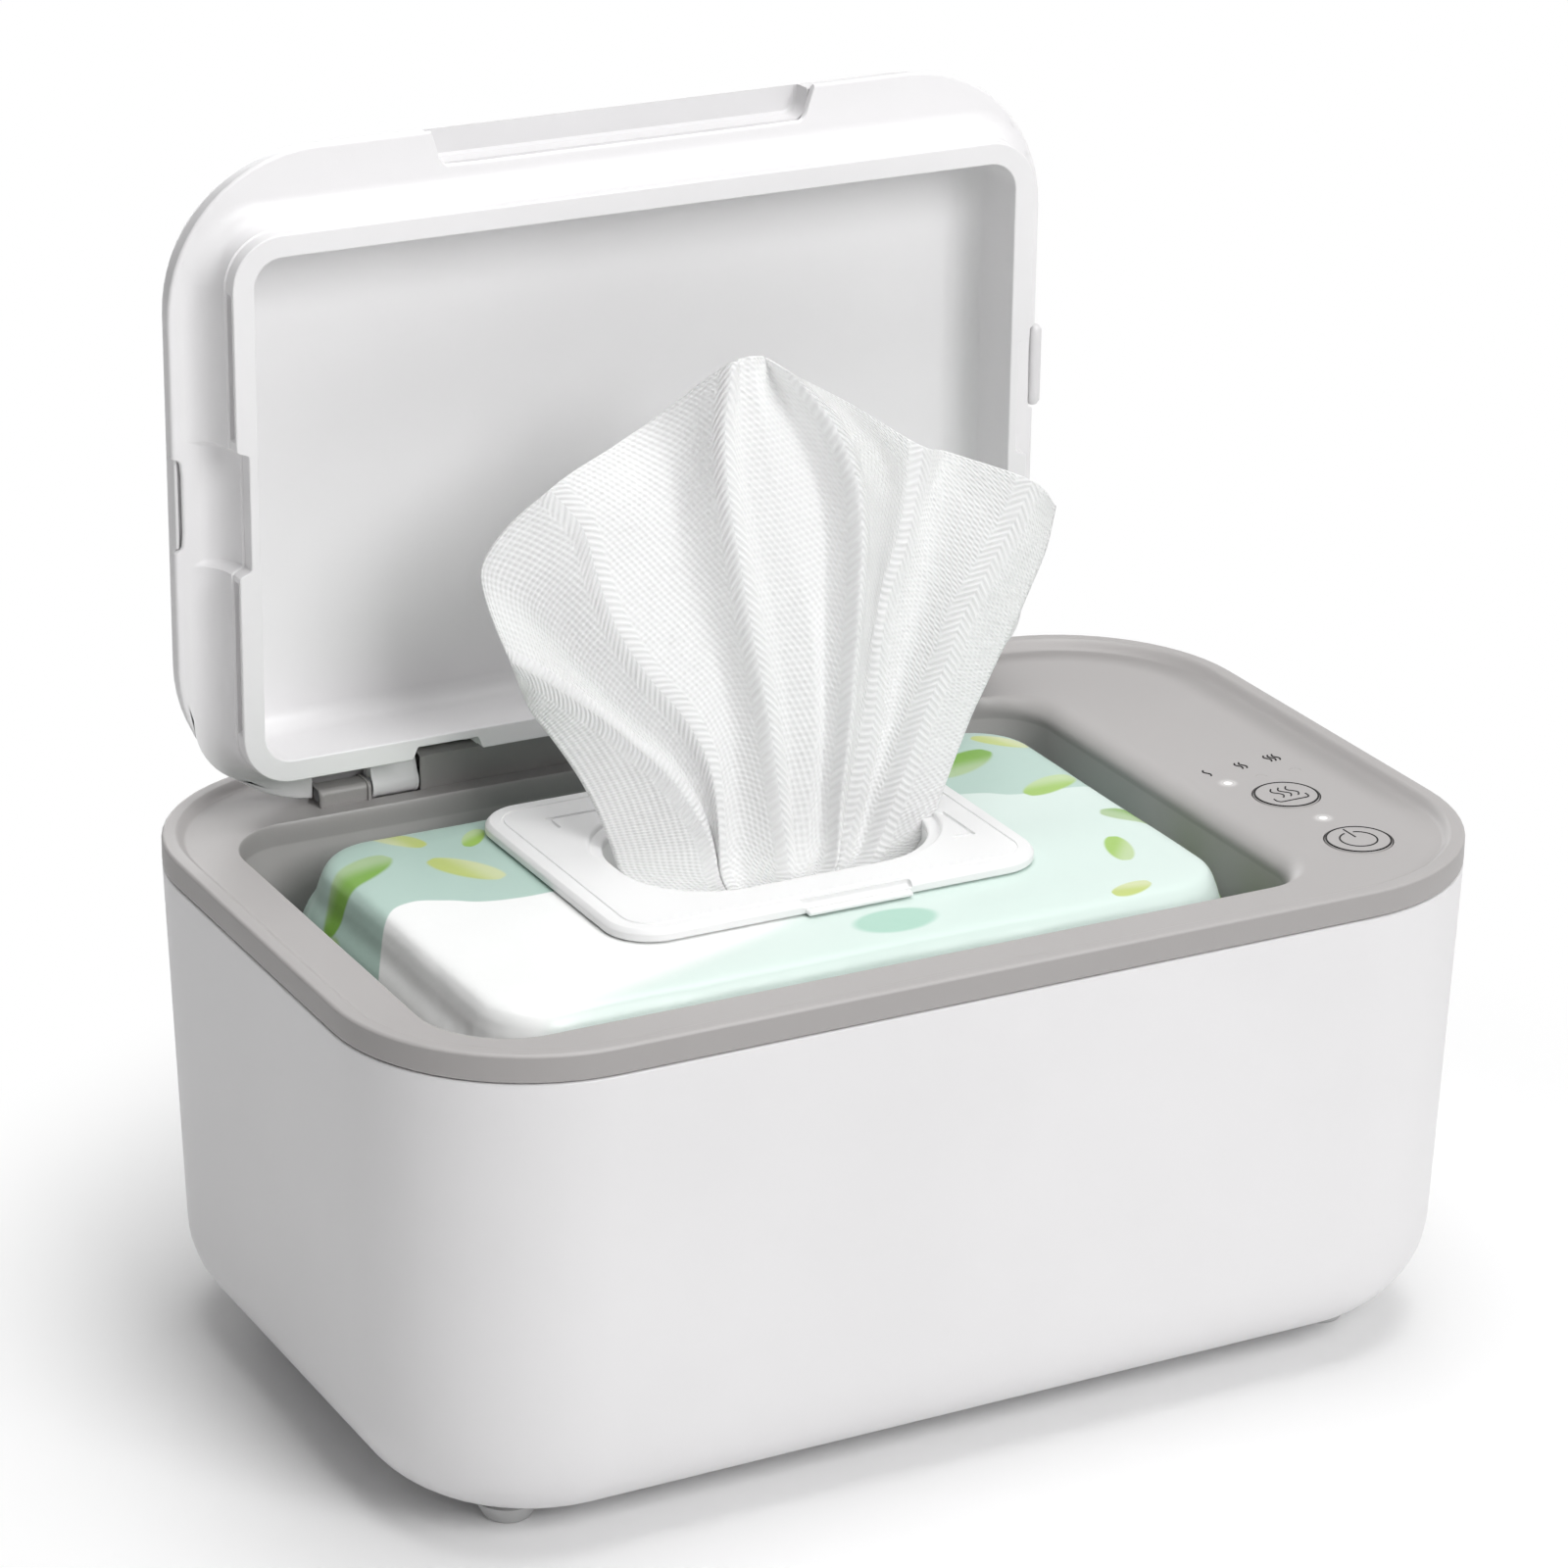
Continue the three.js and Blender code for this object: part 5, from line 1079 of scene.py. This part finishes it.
packFrame = dict(
    left=-59.8, right=34.8, front=-34.7, rear=37.0, corner=10, bottom=105.7, top=108.2, chamfer=0.8, edge=0.35,
    grooveIn=3.6, grooveWidth=0.5, grooveDepth=0.3, soft=0.12, holeRound=0.7, shelfRound=0.6,
    latchX=-9.2, latchLength=24.4, latchDepth=1.8, lip=1.7, lipGap=0.6, channelDepth=0.6,
    channels=[(-47.8, -36.4, 25.6, 26.7), (-47.8, -46.7, 21.0, 26.7), (25.4, 26.5, -18.6, -5.2),
              (21.6, 26.5, -18.6, -17.5)],
)


def makeFrame():
    f = packFrame
    area = rectangle(f["left"], f["right"], f["front"], f["rear"], f["corner"])
    top, bottom, front, soft = f["top"], f["bottom"], f["front"], f["soft"]
    chamfer, middle, half, depth = f["chamfer"], f["grooveIn"], f["grooveWidth"] / 2, f["grooveDepth"]
    outside = [
        (f["edge"], bottom), (0, bottom + f["edge"]), (0, top - chamfer - 0.25), (soft, top - chamfer),
        (chamfer * 0.9, top - soft), (chamfer + 0.3, top), (middle - half - soft, top), (middle - half, top - depth),
        (middle + half, top - depth), (middle + half + soft, top),
    ]
    shelf, step, holeRound, shelfRound = top - mouth["stepDepth"], mouth["step"], f["holeRound"], f["shelfRound"]
    inside = [(a - holeRound, top - holeRound + b) for a, b in rounded(holeRound, 5, 90, 0)]
    inside += [(0.1, shelf + 0.1), (0.3, shelf)]
    inside += [(step - shelfRound + a, shelf - shelfRound + b) for a, b in rounded(shelfRound, 4, 90, 0)]
    inside.append((step, bottom))
    loops = [loop(shape, inset, z, cornerSteps=18, sideSteps=20)
             for shape, places in ((area, outside), (holeArea, inside)) for inset, z in places]
    piece = makePiece("pack_frame_plate", *bridged(loops, closed=True))
    left, right = spanAbout(f["latchX"], f["latchLength"])
    cutters = [makePiece("latchCutter", *block(
        left, right, front - 3, front + f["latchDepth"], (bottom + top) / 2, top + 2, edge=0.5))]
    for channel in f["channels"]:
        cutters.append(makePiece("channelCutter", *block(*channel, top - f["channelDepth"], top + 2, edge=0.3)))
    carve(piece, cutters)
    joinMeshes(piece, [makePiece("latchLip", *block(
        left + f["lipGap"], right - f["lipGap"], front - f["lip"], front + 1, bottom + 0.15, bottom + 1.1, edge=0.4))])
    return creased(piece)


packPlastic.bump(packPlastic.noise(260, 2, 0.5), 0.00001)
handOver(makeFrame(), "base", packPlastic, "white_plastic", "pack_frame")
print("stage: pack frame")

wipe = dict(
    # its folds from left to right: how far each stands back, and its line from the mouth up to the free edge
    folds=[
        (1.0, [(-40.3, 102.4), (-41.9, 107.5), (-43.5, 112.7), (-45.2, 117.7), (-47.4, 122.6), (-49.9, 127.2),
               (-52.6, 131.8), (-55.3, 136.2), (-57.0, 141.2)]),
        (-3.0, [(-21.2, 99.5), (-22.9, 107.7), (-26.5, 115.3), (-31.0, 122.3), (-36.5, 128.3), (-42.3, 134.1),
                (-48.5, 139.3), (-54.8, 144.2), (-61.3, 148.8)]),
        (1.0, [(-20.3, 100.0), (-21.6, 109.7), (-24.8, 119.1), (-30.3, 127.7), (-37.6, 135.2), (-44.5, 143.0),
               (-50.7, 151.0), (-56.8, 158.9), (-64.9, 165.6)]),
        (-3.0, [(-20.8, 101.6), (-21.3, 113.0), (-23.0, 124.4), (-27.8, 134.5), (-34.7, 143.5), (-40.3, 153.3),
                (-43.9, 163.9), (-46.7, 174.6), (-53.1, 183.2)]),
        (3.2, [(-15.3, 104.6), (-15.3, 115.9), (-15.7, 127.2), (-17.2, 138.4), (-20.4, 149.2), (-23.4, 159.9),
               (-25.3, 170.8), (-26.0, 181.7), (-30.5, 191.7)]),
        (-3.6, [(-6.8, 99.4), (-8.3, 113.2), (-9.9, 126.9), (-12.0, 140.5), (-14.4, 153.9), (-16.4, 167.2),
               (-18.4, 180.4), (-18.9, 193.5), (-17.4, 206.3)]),
        (0.2, [(-4.4, 98.9), (-4.5, 112.6), (-4.5, 126.1), (-5.4, 139.6), (-7.3, 153.0), (-9.8, 166.3),
               (-12.0, 179.4), (-13.3, 192.5), (-13.5, 205.3)]),
        (0.0, [(-2.7, 99.0), (-1.6, 112.7), (-0.1, 126.2), (0.0, 139.7), (-1.5, 153.2), (-4.6, 166.4),
               (-7.2, 179.6), (-9.5, 192.7), (-11.6, 205.7)]),
        (2.6, [(1.0, 101.8), (2.0, 115.0), (2.9, 128.1), (3.4, 141.2), (3.9, 154.2), (3.9, 167.1),
               (2.1, 179.9), (-2.6, 192.0), (-7.0, 204.1)]),
        (-4.0, [(3.0, 100.9), (4.2, 114.4), (5.9, 127.6), (7.1, 140.8), (8.0, 154.0), (8.6, 167.1),
               (7.6, 180.2), (2.8, 192.6), (-5.5, 203.0)]),
        (-2.4, [(3.6, 100.9), (5.7, 112.8), (7.8, 124.7), (9.6, 136.6), (10.9, 148.6), (12.7, 160.3),
               (14.0, 172.1), (13.8, 184.0), (8.3, 194.6)]),
        (-3.4, [(4.1, 100.8), (7.3, 111.3), (9.9, 121.9), (11.8, 132.7), (12.9, 143.6), (14.6, 154.3), (18.1, 164.3),
                (20.5, 174.8), (22.1, 185.3)]),
        (1.8, [(9.3, 101.2), (12.0, 111.3), (15.3, 121.2), (18.2, 131.2), (20.9, 141.3), (23.9, 151.2), (26.6, 161.1),
               (28.7, 171.2), (31.2, 181.1)]),
        (-3.2, [(10.9, 100.8), (14.8, 110.5), (18.5, 120.3), (22.2, 130.1), (26.6, 139.5), (30.4, 149.1), (35.6, 158.0),
                (41.0, 166.7), (45.2, 175.9)]),
        (0.8, [(23.9, 105.4), (27.4, 113.4), (30.9, 121.4), (34.8, 129.2), (39.2, 136.7), (43.5, 144.2), (47.6, 151.9),
               (51.2, 159.7), (53.3, 168.1)]),
    ],
    crestDepth=-2.5, foldGain=1.3, columns=18, rows=116, rootX=-11.8, rootY=0.3, rootZ=96.0, gather=0.8, lean=9,
    turn=0.17, rootShare=0.35, thickness=0.35, pulledLength=120, uvSpan=100, crestSpan=10,
    # how far it sways and crumples, over how many mm in x and z, and a layer of the noise for each
    sway=(1.2, 26, 34, 7), crumple=(0.35, 7, 10, 2),
)


def throughPoints(table, place):
    # a smooth curve through the rows of a table that never swings past them
    k, t, rows = rowsAt(table, place)
    result = []
    for p, q, r, s in rows:
        steps = (q - p, r - q, s - r)
        slopes = [2 * m * n / (m + n) if m * n > 0 else 0 for m, n in zip(steps, steps[1:])]
        slopes = [slopes[0] if k > 0 else r - q, slopes[1] if k + 2 < len(table) else r - q]
        result.append((2 * t ** 3 - 3 * t * t + 1) * q + (t ** 3 - 2 * t * t + t) * slopes[0]
                      + (3 * t * t - 2 * t ** 3) * r + (t ** 3 - t * t) * slopes[1])
    return result


def drifted(x, z, by, spanX, spanZ, layer):
    return by * noise.noise(Vector((x / spanX, z / spanZ, layer)))


def makeWipe():
    w = wipe
    roots = [(w["rootX"] + (line[0][0] - w["rootX"]) * w["gather"], w["rootZ"]) for _, line in w["folds"]]
    lines = [[root] + line for root, (_, line) in zip(roots, w["folds"])]
    depths = [depth for depth, _ in w["folds"]]
    spans = len(lines) - 1
    columns = spans * w["columns"] + 1
    crestColumns = [k * w["columns"] for k, depth in enumerate(depths) if depth < w["crestDepth"]]
    vertices, faces, across, climbed, crest = [], [], [], [], []
    for row in range(w["rows"] + 1):
        v = row / w["rows"]
        line = [(*alongTable(points, v * (len(points) - 1)), depth * w["foldGain"])
                for points, depth in zip(lines, depths)]
        run, current = 0, []
        for column in range(columns):
            x, z, deep = throughPoints(line, column / w["columns"])
            y = w["rootY"] + w["lean"] * v - w["turn"] * (x - w["rootX"]) + deep * lerp(w["rootShare"], 1, v)
            y += drifted(x, z, *w["sway"]) * v
            y += drifted(x, z, *w["crumple"]) * smooth(v, 0.1, 0.5)
            current.append((x, y, z))
        for column, spot in enumerate(current):
            if column:
                run += math.dist(current[column - 1], spot)
            across.append(run)
            climbed.append(v * w["pulledLength"])
            crest.append(min(math.dist(current[k], spot) for k in crestColumns) / w["crestSpan"])
        vertices += current
    for row in range(w["rows"]):
        for column in range(columns - 1):
            a = row * columns + column
            faces.append((a, a + 1, a + columns + 1, a + columns))
    piece = newPiece("wipe_sheet", vertices, faces=faces)
    mesh = piece.data
    layout = mesh.uv_layers.new(name="clothPlace")
    for corner in mesh.loops:
        i = corner.vertex_index
        layout.data[corner.index].uv = (across[i] / w["uvSpan"], climbed[i] / w["uvSpan"])
    share = mesh.attributes.new("crest", "FLOAT", "POINT")
    share.data.foreach_set("value", crest)
    shadeSmooth(piece)
    flatArea = sum(face.area for face in mesh.polygons)
    thick = piece.modifiers.new("thick", "SOLIDIFY")
    thick.thickness, thick.offset = w["thickness"] * mm, 0
    settle(piece)
    pulled = w["pulledLength"] * mm
    flatArea / pulled
    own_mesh(piece)
    return piece


cloth = Finish("embossedWipeCloth", linear(248, 248, 247), 0.8, Subsurface_Weight=0.6, Subsurface_Scale=0.0015)
cloth.shader.inputs["Subsurface Radius"].default_value = (1.0, 1.0, 1.0)
clothU, clothV, _ = cloth.axes(cloth.place("UV"))
# slanting dots over the cloth, and chevrons along the crests of its folds
weave = dict(pitch=1.9, slant=1.414, chevronsTo=(2.4, 3.6))
perSpan = wipe["uvSpan"] * 2 * math.pi / weave["pitch"] / weave["slant"]
weaveU, weaveV = clothU * perSpan, clothV * perSpan
dots = (weaveU + weaveV).sine() * (weaveU - weaveV).sine()
fromCrest = nodeOf(cloth.tree, "ShaderNodeAttribute", dict(attribute_name="crest"), output=2) * wipe["crestSpan"]
onCrest = fromCrest.between(*weave["chevronsTo"], 1, 0)
chevrons = ((clothV * wipe["uvSpan"] + fromCrest) * (2 * math.pi / weave["pitch"])).sine()
emboss = dots * (1 - onCrest) + chevrons * onCrest
fibres = cloth.noise(900, 3, 0.7)
# painted shade: the emboss's hollows are painted a little darker and its raised dots lighter
cloth.feed("Base Color", cloth.mix(emboss.between(-0.9, 0.5), linear(247, 247, 247), linear(254, 254, 254)))
cloth.bump(emboss * 0.5 + 0.5, 0.00025)
cloth.bump(fibres, 0.00003)
handOver(makeWipe(), "base", cloth, "wipe_cloth", "wipe")
print("stage: wipe")

# Node trees for what follows a line and for what repeats


def growTree(name, sizes, made, links):
    # a tree with named inputs and nodes, which ends in Realize Instances and Set Material
    tree = bpy.data.node_groups.new(name, "GeometryNodeTree")
    tree.interface.new_socket("Geometry", in_out="OUTPUT", socket_type="NodeSocketGeometry")
    for label, kind in {"Geometry": "Geometry", **sizes, "Finish": "Material"}.items():
        tree.interface.new_socket(label, in_out="INPUT", socket_type="NodeSocket" + kind)
    made = {"real": "RealizeInstances", "paint": "SetMaterial", **made}
    parts = {label: tree.nodes.new("GeometryNode" + kind) for label, kind in made.items()}
    parts["given"], parts["result"] = tree.nodes.new("NodeGroupInput"), tree.nodes.new("NodeGroupOutput")
    ending = [("real", "Geometry", "paint", "Geometry"), ("given", "Finish", "paint", "Material"),
              ("paint", "Geometry", "result", "Geometry")]
    for start, output, end, socket in links + ending:
        tree.links.new(parts[start].outputs[output], parts[end].inputs[socket])
    return tree, parts


# a round line along every edge chain of the mesh that it gets
lineAlongEdges, lineParts = growTree(
    "lineAlongEdges", {"Line radius": "Float", "Line sides": "Int"},
    dict(path="MeshToCurve", profile="CurvePrimitiveCircle", sweep="CurveToMesh"),
    [("given", "Geometry", "path", "Mesh"), ("given", "Line sides", "profile", "Resolution"),
     ("given", "Line radius", "profile", "Radius"), ("path", "Curve", "sweep", "Curve"),
     ("profile", "Curve", "sweep", "Profile Curve"), ("sweep", "Mesh", "real", "Geometry")])
lineParts["sweep"].inputs["Fill Caps"].default_value = True
# a copy of one form at every point of the mesh that it gets
formAtPoints, _ = growTree(
    "formAtPoints", {"Form": "Object", "Form size": "Float"}, dict(form="ObjectInfo", spread="InstanceOnPoints"),
    [("given", "Form", "form", "Object"), ("given", "Geometry", "spread", "Points"),
     ("form", "Geometry", "spread", "Instance"), ("given", "Form size", "spread", "Scale"),
     ("spread", "Instances", "real", "Geometry")])


def runTree(name, tree, vertices, edges, values):
    # runs a tree on points or lines, and gives its result as a plain mesh
    piece = newPiece(name, vertices, edges)
    step = piece.modifiers.new("tree", "NODES")
    step.node_group = tree
    for item in tree.interface.items_tree:
        if item.in_out == "INPUT" and item.name in values:
            step[item.identifier] = values[item.name]
    settle(piece)
    shadeSmooth(piece)
    return piece


def spreadForm(name, profile, steps, places, finish, slot, replaced):
    # a turned form at each place, as one piece
    form = makePiece(name + "Form", *lathe(profile, 0, 0, steps))
    points = [(x, y, 0) for x, y in places]
    piece = runTree(name, formAtPoints, points, [], {"Form": form, "Form size": 1.0, "Finish": finish.material})
    bpy.data.objects.remove(form)
    creased(piece, angle=40)
    return handOver(piece, "base", finish, slot, *replaced)


def inkLines(name, chains, radius, sides):
    values = {"Line radius": radius * mm, "Line sides": sides, "Finish": ink.material}
    return runTree(name, lineAlongEdges, *gathered(chains), values)


def chain(points, closed=False):
    edges = [(k, k + 1) for k in range(len(points) - 1)]
    return points, edges + ([(len(points) - 1, 0)] if closed else [])


def gathered(chains):
    vertices, edges = [], []
    for points, links in chains:
        edges += [(a + len(vertices), b + len(vertices)) for a, b in links]
        vertices += points
    return vertices, edges


def waveOf(x, y, z, height, swing, steps=18):
    # one upright wisp with a double bend
    points = []
    for t in [k / steps for k in range(steps + 1)]:
        bend = math.sin(2 * math.pi * t) * (1 - 0.25 * abs(2 * t - 1))
        points.append((x + swing * bend, y + height * (t - 0.5), z))
    return chain(points)


# Keys with printed symbols, and the marks and lights beside them

ink = mouldedPlastic("darkInk", linear(22, 20, 20), 0.6, tint=0.1)
ink.shader.inputs["Specular IOR Level"].default_value = 0.15
keys = dict(
    radius=6.85, top=106.7, bottom=103.6, edge=0.35, inkRadius=0.2, fineInk=0.23, inkSink=0.06, ringInset=0.32,
    wisps=[-1.5, 0.3, 2.1], wispRise=1.2, wispHeight=4.9, wispSwing=0.85, trayWidth=7.6, trayDrop=3.15, trayLip=1.9,
    trayCorner=1.0, circle=3.8, gap=16, barFrom=1.1, barTo=5.6, hub=0.2, shoulder=1.2, footEdge=0.3,
)
levels = dict(heights=3.3, swing=0.45, pitch=1.05, icons=[(87.9, -7.6, 1), (96.5, -7.0, 2), (104.7, -6.1, 3)])


def makeKeys():
    k = keys
    for name, (x, y) in keyPlaces.items():
        radius, top, bottom, edge = k["radius"], k["top"], k["bottom"], k["edge"]
        cap = [(k["hub"], bottom), (radius - k["shoulder"], bottom), (radius, bottom + k["footEdge"]),
               (radius, top - edge - 0.6)]
        cap += [(radius - edge + a, top - edge + b) for a, b in rounded(edge, 5)]
        cap += [(radius - k["shoulder"], top), (k["hub"], top)]
        piece = makePiece(name + "_cap", *lathe(cap, x, y, 72))
        z = top - k["inkSink"]
        chains = [chain([(a, b, z) for a, b in circle(radius - k["ringInset"], 72, x, y)], closed=True)]
        if name == "heat_button":
            chains += [waveOf(x + place, y + k["wispRise"], z, k["wispHeight"], k["wispSwing"]) for place in k["wisps"]]
            half, low, corner = k["trayWidth"] / 2, y - k["trayDrop"], k["trayCorner"]
            bend = [(half - corner * (1 - math.cos(t)), low + corner * (1 - math.sin(t))) for t in quarterTurns(8)]
            bend.insert(0, (half, low + k["trayLip"]))
            tray = [(x - a, b, z) for a, b in bend] + [(x + a, b, z) for a, b in reversed(bend)]
            chains.append(chain(tray))
        else:
            arc = rounded(k["circle"], 60, 90 + k["gap"], 450 - k["gap"])
            chains.append(chain([(x + a, y + b, z) for a, b in arc]))
            chains.append(chain([(x, y + lerp(k["barFrom"], k["barTo"], t / 6), z) for t in range(7)]))
        marks = inkLines(name + "_print", chains, k["inkRadius"], 8)
        body = "heat_key" if name == "heat_button" else "power_key"
        creased(piece, angle=40)
        handOver(piece, body, greyPlastic, "key_plastic", name)
        handOver(marks, body, ink, "key_plastic")


makeKeys()
iconTop = deck["top"] - keys["inkSink"]
icons = [waveOf(x + (j - (count - 1) / 2) * levels["pitch"], y, iconTop, levels["heights"], levels["swing"])
         for x, y, count in levels["icons"] for j in range(count)]
handOver(inkLines("level_icons", icons, keys["fineInk"], 6), "base", ink, "grey_plastic")
print("stage: keys and printed marks")

lights = dict(
    lit=["level_1", "power"], core=(0.2, 1.2444, 0.12), halo=(0.732, 3.0, 0.3),
    pipe=[(1.098, 101.2), (1.22, 101.5), (1.22, 106.48), (1.1956, 106.5)], steps=24,
)
litPlaces = [lightPlaces[name] for name in lights["lit"]]
litPipe = Finish("litLightPipe", linear(177, 174, 173), 0.3)
coreFrom, coreTo, coreEdge = lights["core"]
core = litPipe.awayFrom(litPlaces).between(coreFrom, coreTo, 1, coreEdge)
litPipe.feed("Emission Color", litPipe.mix(core, (0, 0, 0), (1, 1, 1)))
litPipe.shader.inputs["Emission Strength"].default_value = 1.0
litPipe.bump(litPipe.noise(1900, 2, 0.6), 0.00001)

darkNames = [name for name in lightPlaces if name not in lights["lit"]]
for name, finish, pipes in (("lit_light_pipes", litPipe, lights["lit"]), ("dark_light_pipes", greyPlastic, darkNames)):
    places = [lightPlaces[pipe] for pipe in pipes]
    replaced = [f"light_pipe_{pipe}" for pipe in pipes]
    spreadForm(name, lights["pipe"], lights["steps"], places, finish, "light_pipe", replaced)

# painted light on the deck: a painted glow round the lit pipes stands in for the light that spills from them on to the
# deck round them
shade = dict(rimHeight=(101.6, 102.2), rim=0.7, hollowHeight=(104.5, 105), hollowFromLip=(4.2, 5.6, 14), hollow=0.55)
spill = Finish("greyDeckPlastic", linear(177, 174, 173), 0.42)
deckX, deckY, deckZ = (axis * 1000 for axis in spill.axes(spill.place()))
haloFrom, haloTo, haloShare = lights["halo"]
halo = spill.awayFrom(litPlaces).between(haloFrom, haloTo, 1, 0) ** 2.0 * haloShare
spill.feed("Emission Color", spill.mix(halo, (0, 0, 0), (1, 1, 1)))
spill.shader.inputs["Emission Strength"].default_value = 1.0
plainGrey = spill.mix(mouldedGrain(spill, 0.42, 0.00002), linear(174, 171, 170), linear(178, 175, 174))
# painted shade: the rim's upright face is painted darker, where less light falls on it
facing = spill.axes(nodeOf(spill.tree, "ShaderNodeNewGeometry", output=1))[2]
paintedRimShade = abs(facing).between(0.1, 0.7, 1, 0) * deckZ.between(*shade["rimHeight"])
# painted shade: the hollow beside the lip is painted darker at the right and rear
corner = bodyArea["corners"][0]
beyondX, beyondY = abs(deckX) - (bodyArea["right"] - corner), abs(deckY) - (bodyArea["rear"] - corner)
fromLip = corner - (beyondX.most(0.0) ** 2.0 + beyondY.most(0.0) ** 2.0).root() - beyondX.most(beyondY).least(0.0)
start, deepest, end = shade["hollowFromLip"]
paintedHollowShade = fromLip.between(start, deepest) * fromLip.between(deepest, end, 1, 0) * deckZ.between(*shade["hollowHeight"])
atRight = (deckX + deckY * deck["hollowSlant"]).between(20, 90)
shaded = spill.mix(paintedHollowShade * atRight * shade["hollow"], plainGrey, linear(136, 133, 132))
spill.feed("Base Color", spill.mix(paintedRimShade * shade["rim"], shaded, linear(152, 149, 148)))
topDeck.data.materials.clear()
topDeck.data.materials.append(spill.material)
print("stage: lights")

# Feet

feet = dict(
    profile=[(0.4, 0.0), (4.2, 0.0), (4.75, 0.12), (5.0, 0.5), (5.25, 1.1), (6.35, 3.1), (6.6, 3.6), (6.62, 3.85),
             (6.4, 4.0), (2.45, 4.0), (2.45, 8.6), (2.1, 9.0), (0.4, 9.0)],
    steps=48,
)
spreadForm("rubber_feet", feet["profile"], feet["steps"], footPlaces.values(), rubber, "foot_rubber",
           [f"foot_{name}" for name in footPlaces])
print("stage: feet")

# Carried-over solids get their finishes

carried = {
    whitePlastic: ["base_cover", "board_socket_1", "board_socket_2"],
    steel: [*(f"base_screw_{k}" for k in range(1, 5)), *(f"board_screw_{k}" for k in range(1, 5)),
            "thermal_fuse", "hinge_pin_left", "hinge_pin_right"],
    rubber: ["heat_key_dome", "power_key_dome"],
    aluminium: ["heat_spreader"], amberFilm: ["heating_film"], foam: ["insulation_pad"],
    blackPlastic: ["thermal_sensor", "control_chip", "power_jack"], solderedBoard: ["control_board"],
    brass: ["jack_nut"], redJacket: ["jack_lead", "heater_lead"],
    clearPlastic: [f"led_{k}" for k in lightPlaces],
}
for finish, names in carried.items():
    for name in names:
        if nodes[name].hide_render:
            continue
        for materialSlot in nodes[name].material_slots:
            materialSlot.material = finish.material
print("stage: carried-over solids")
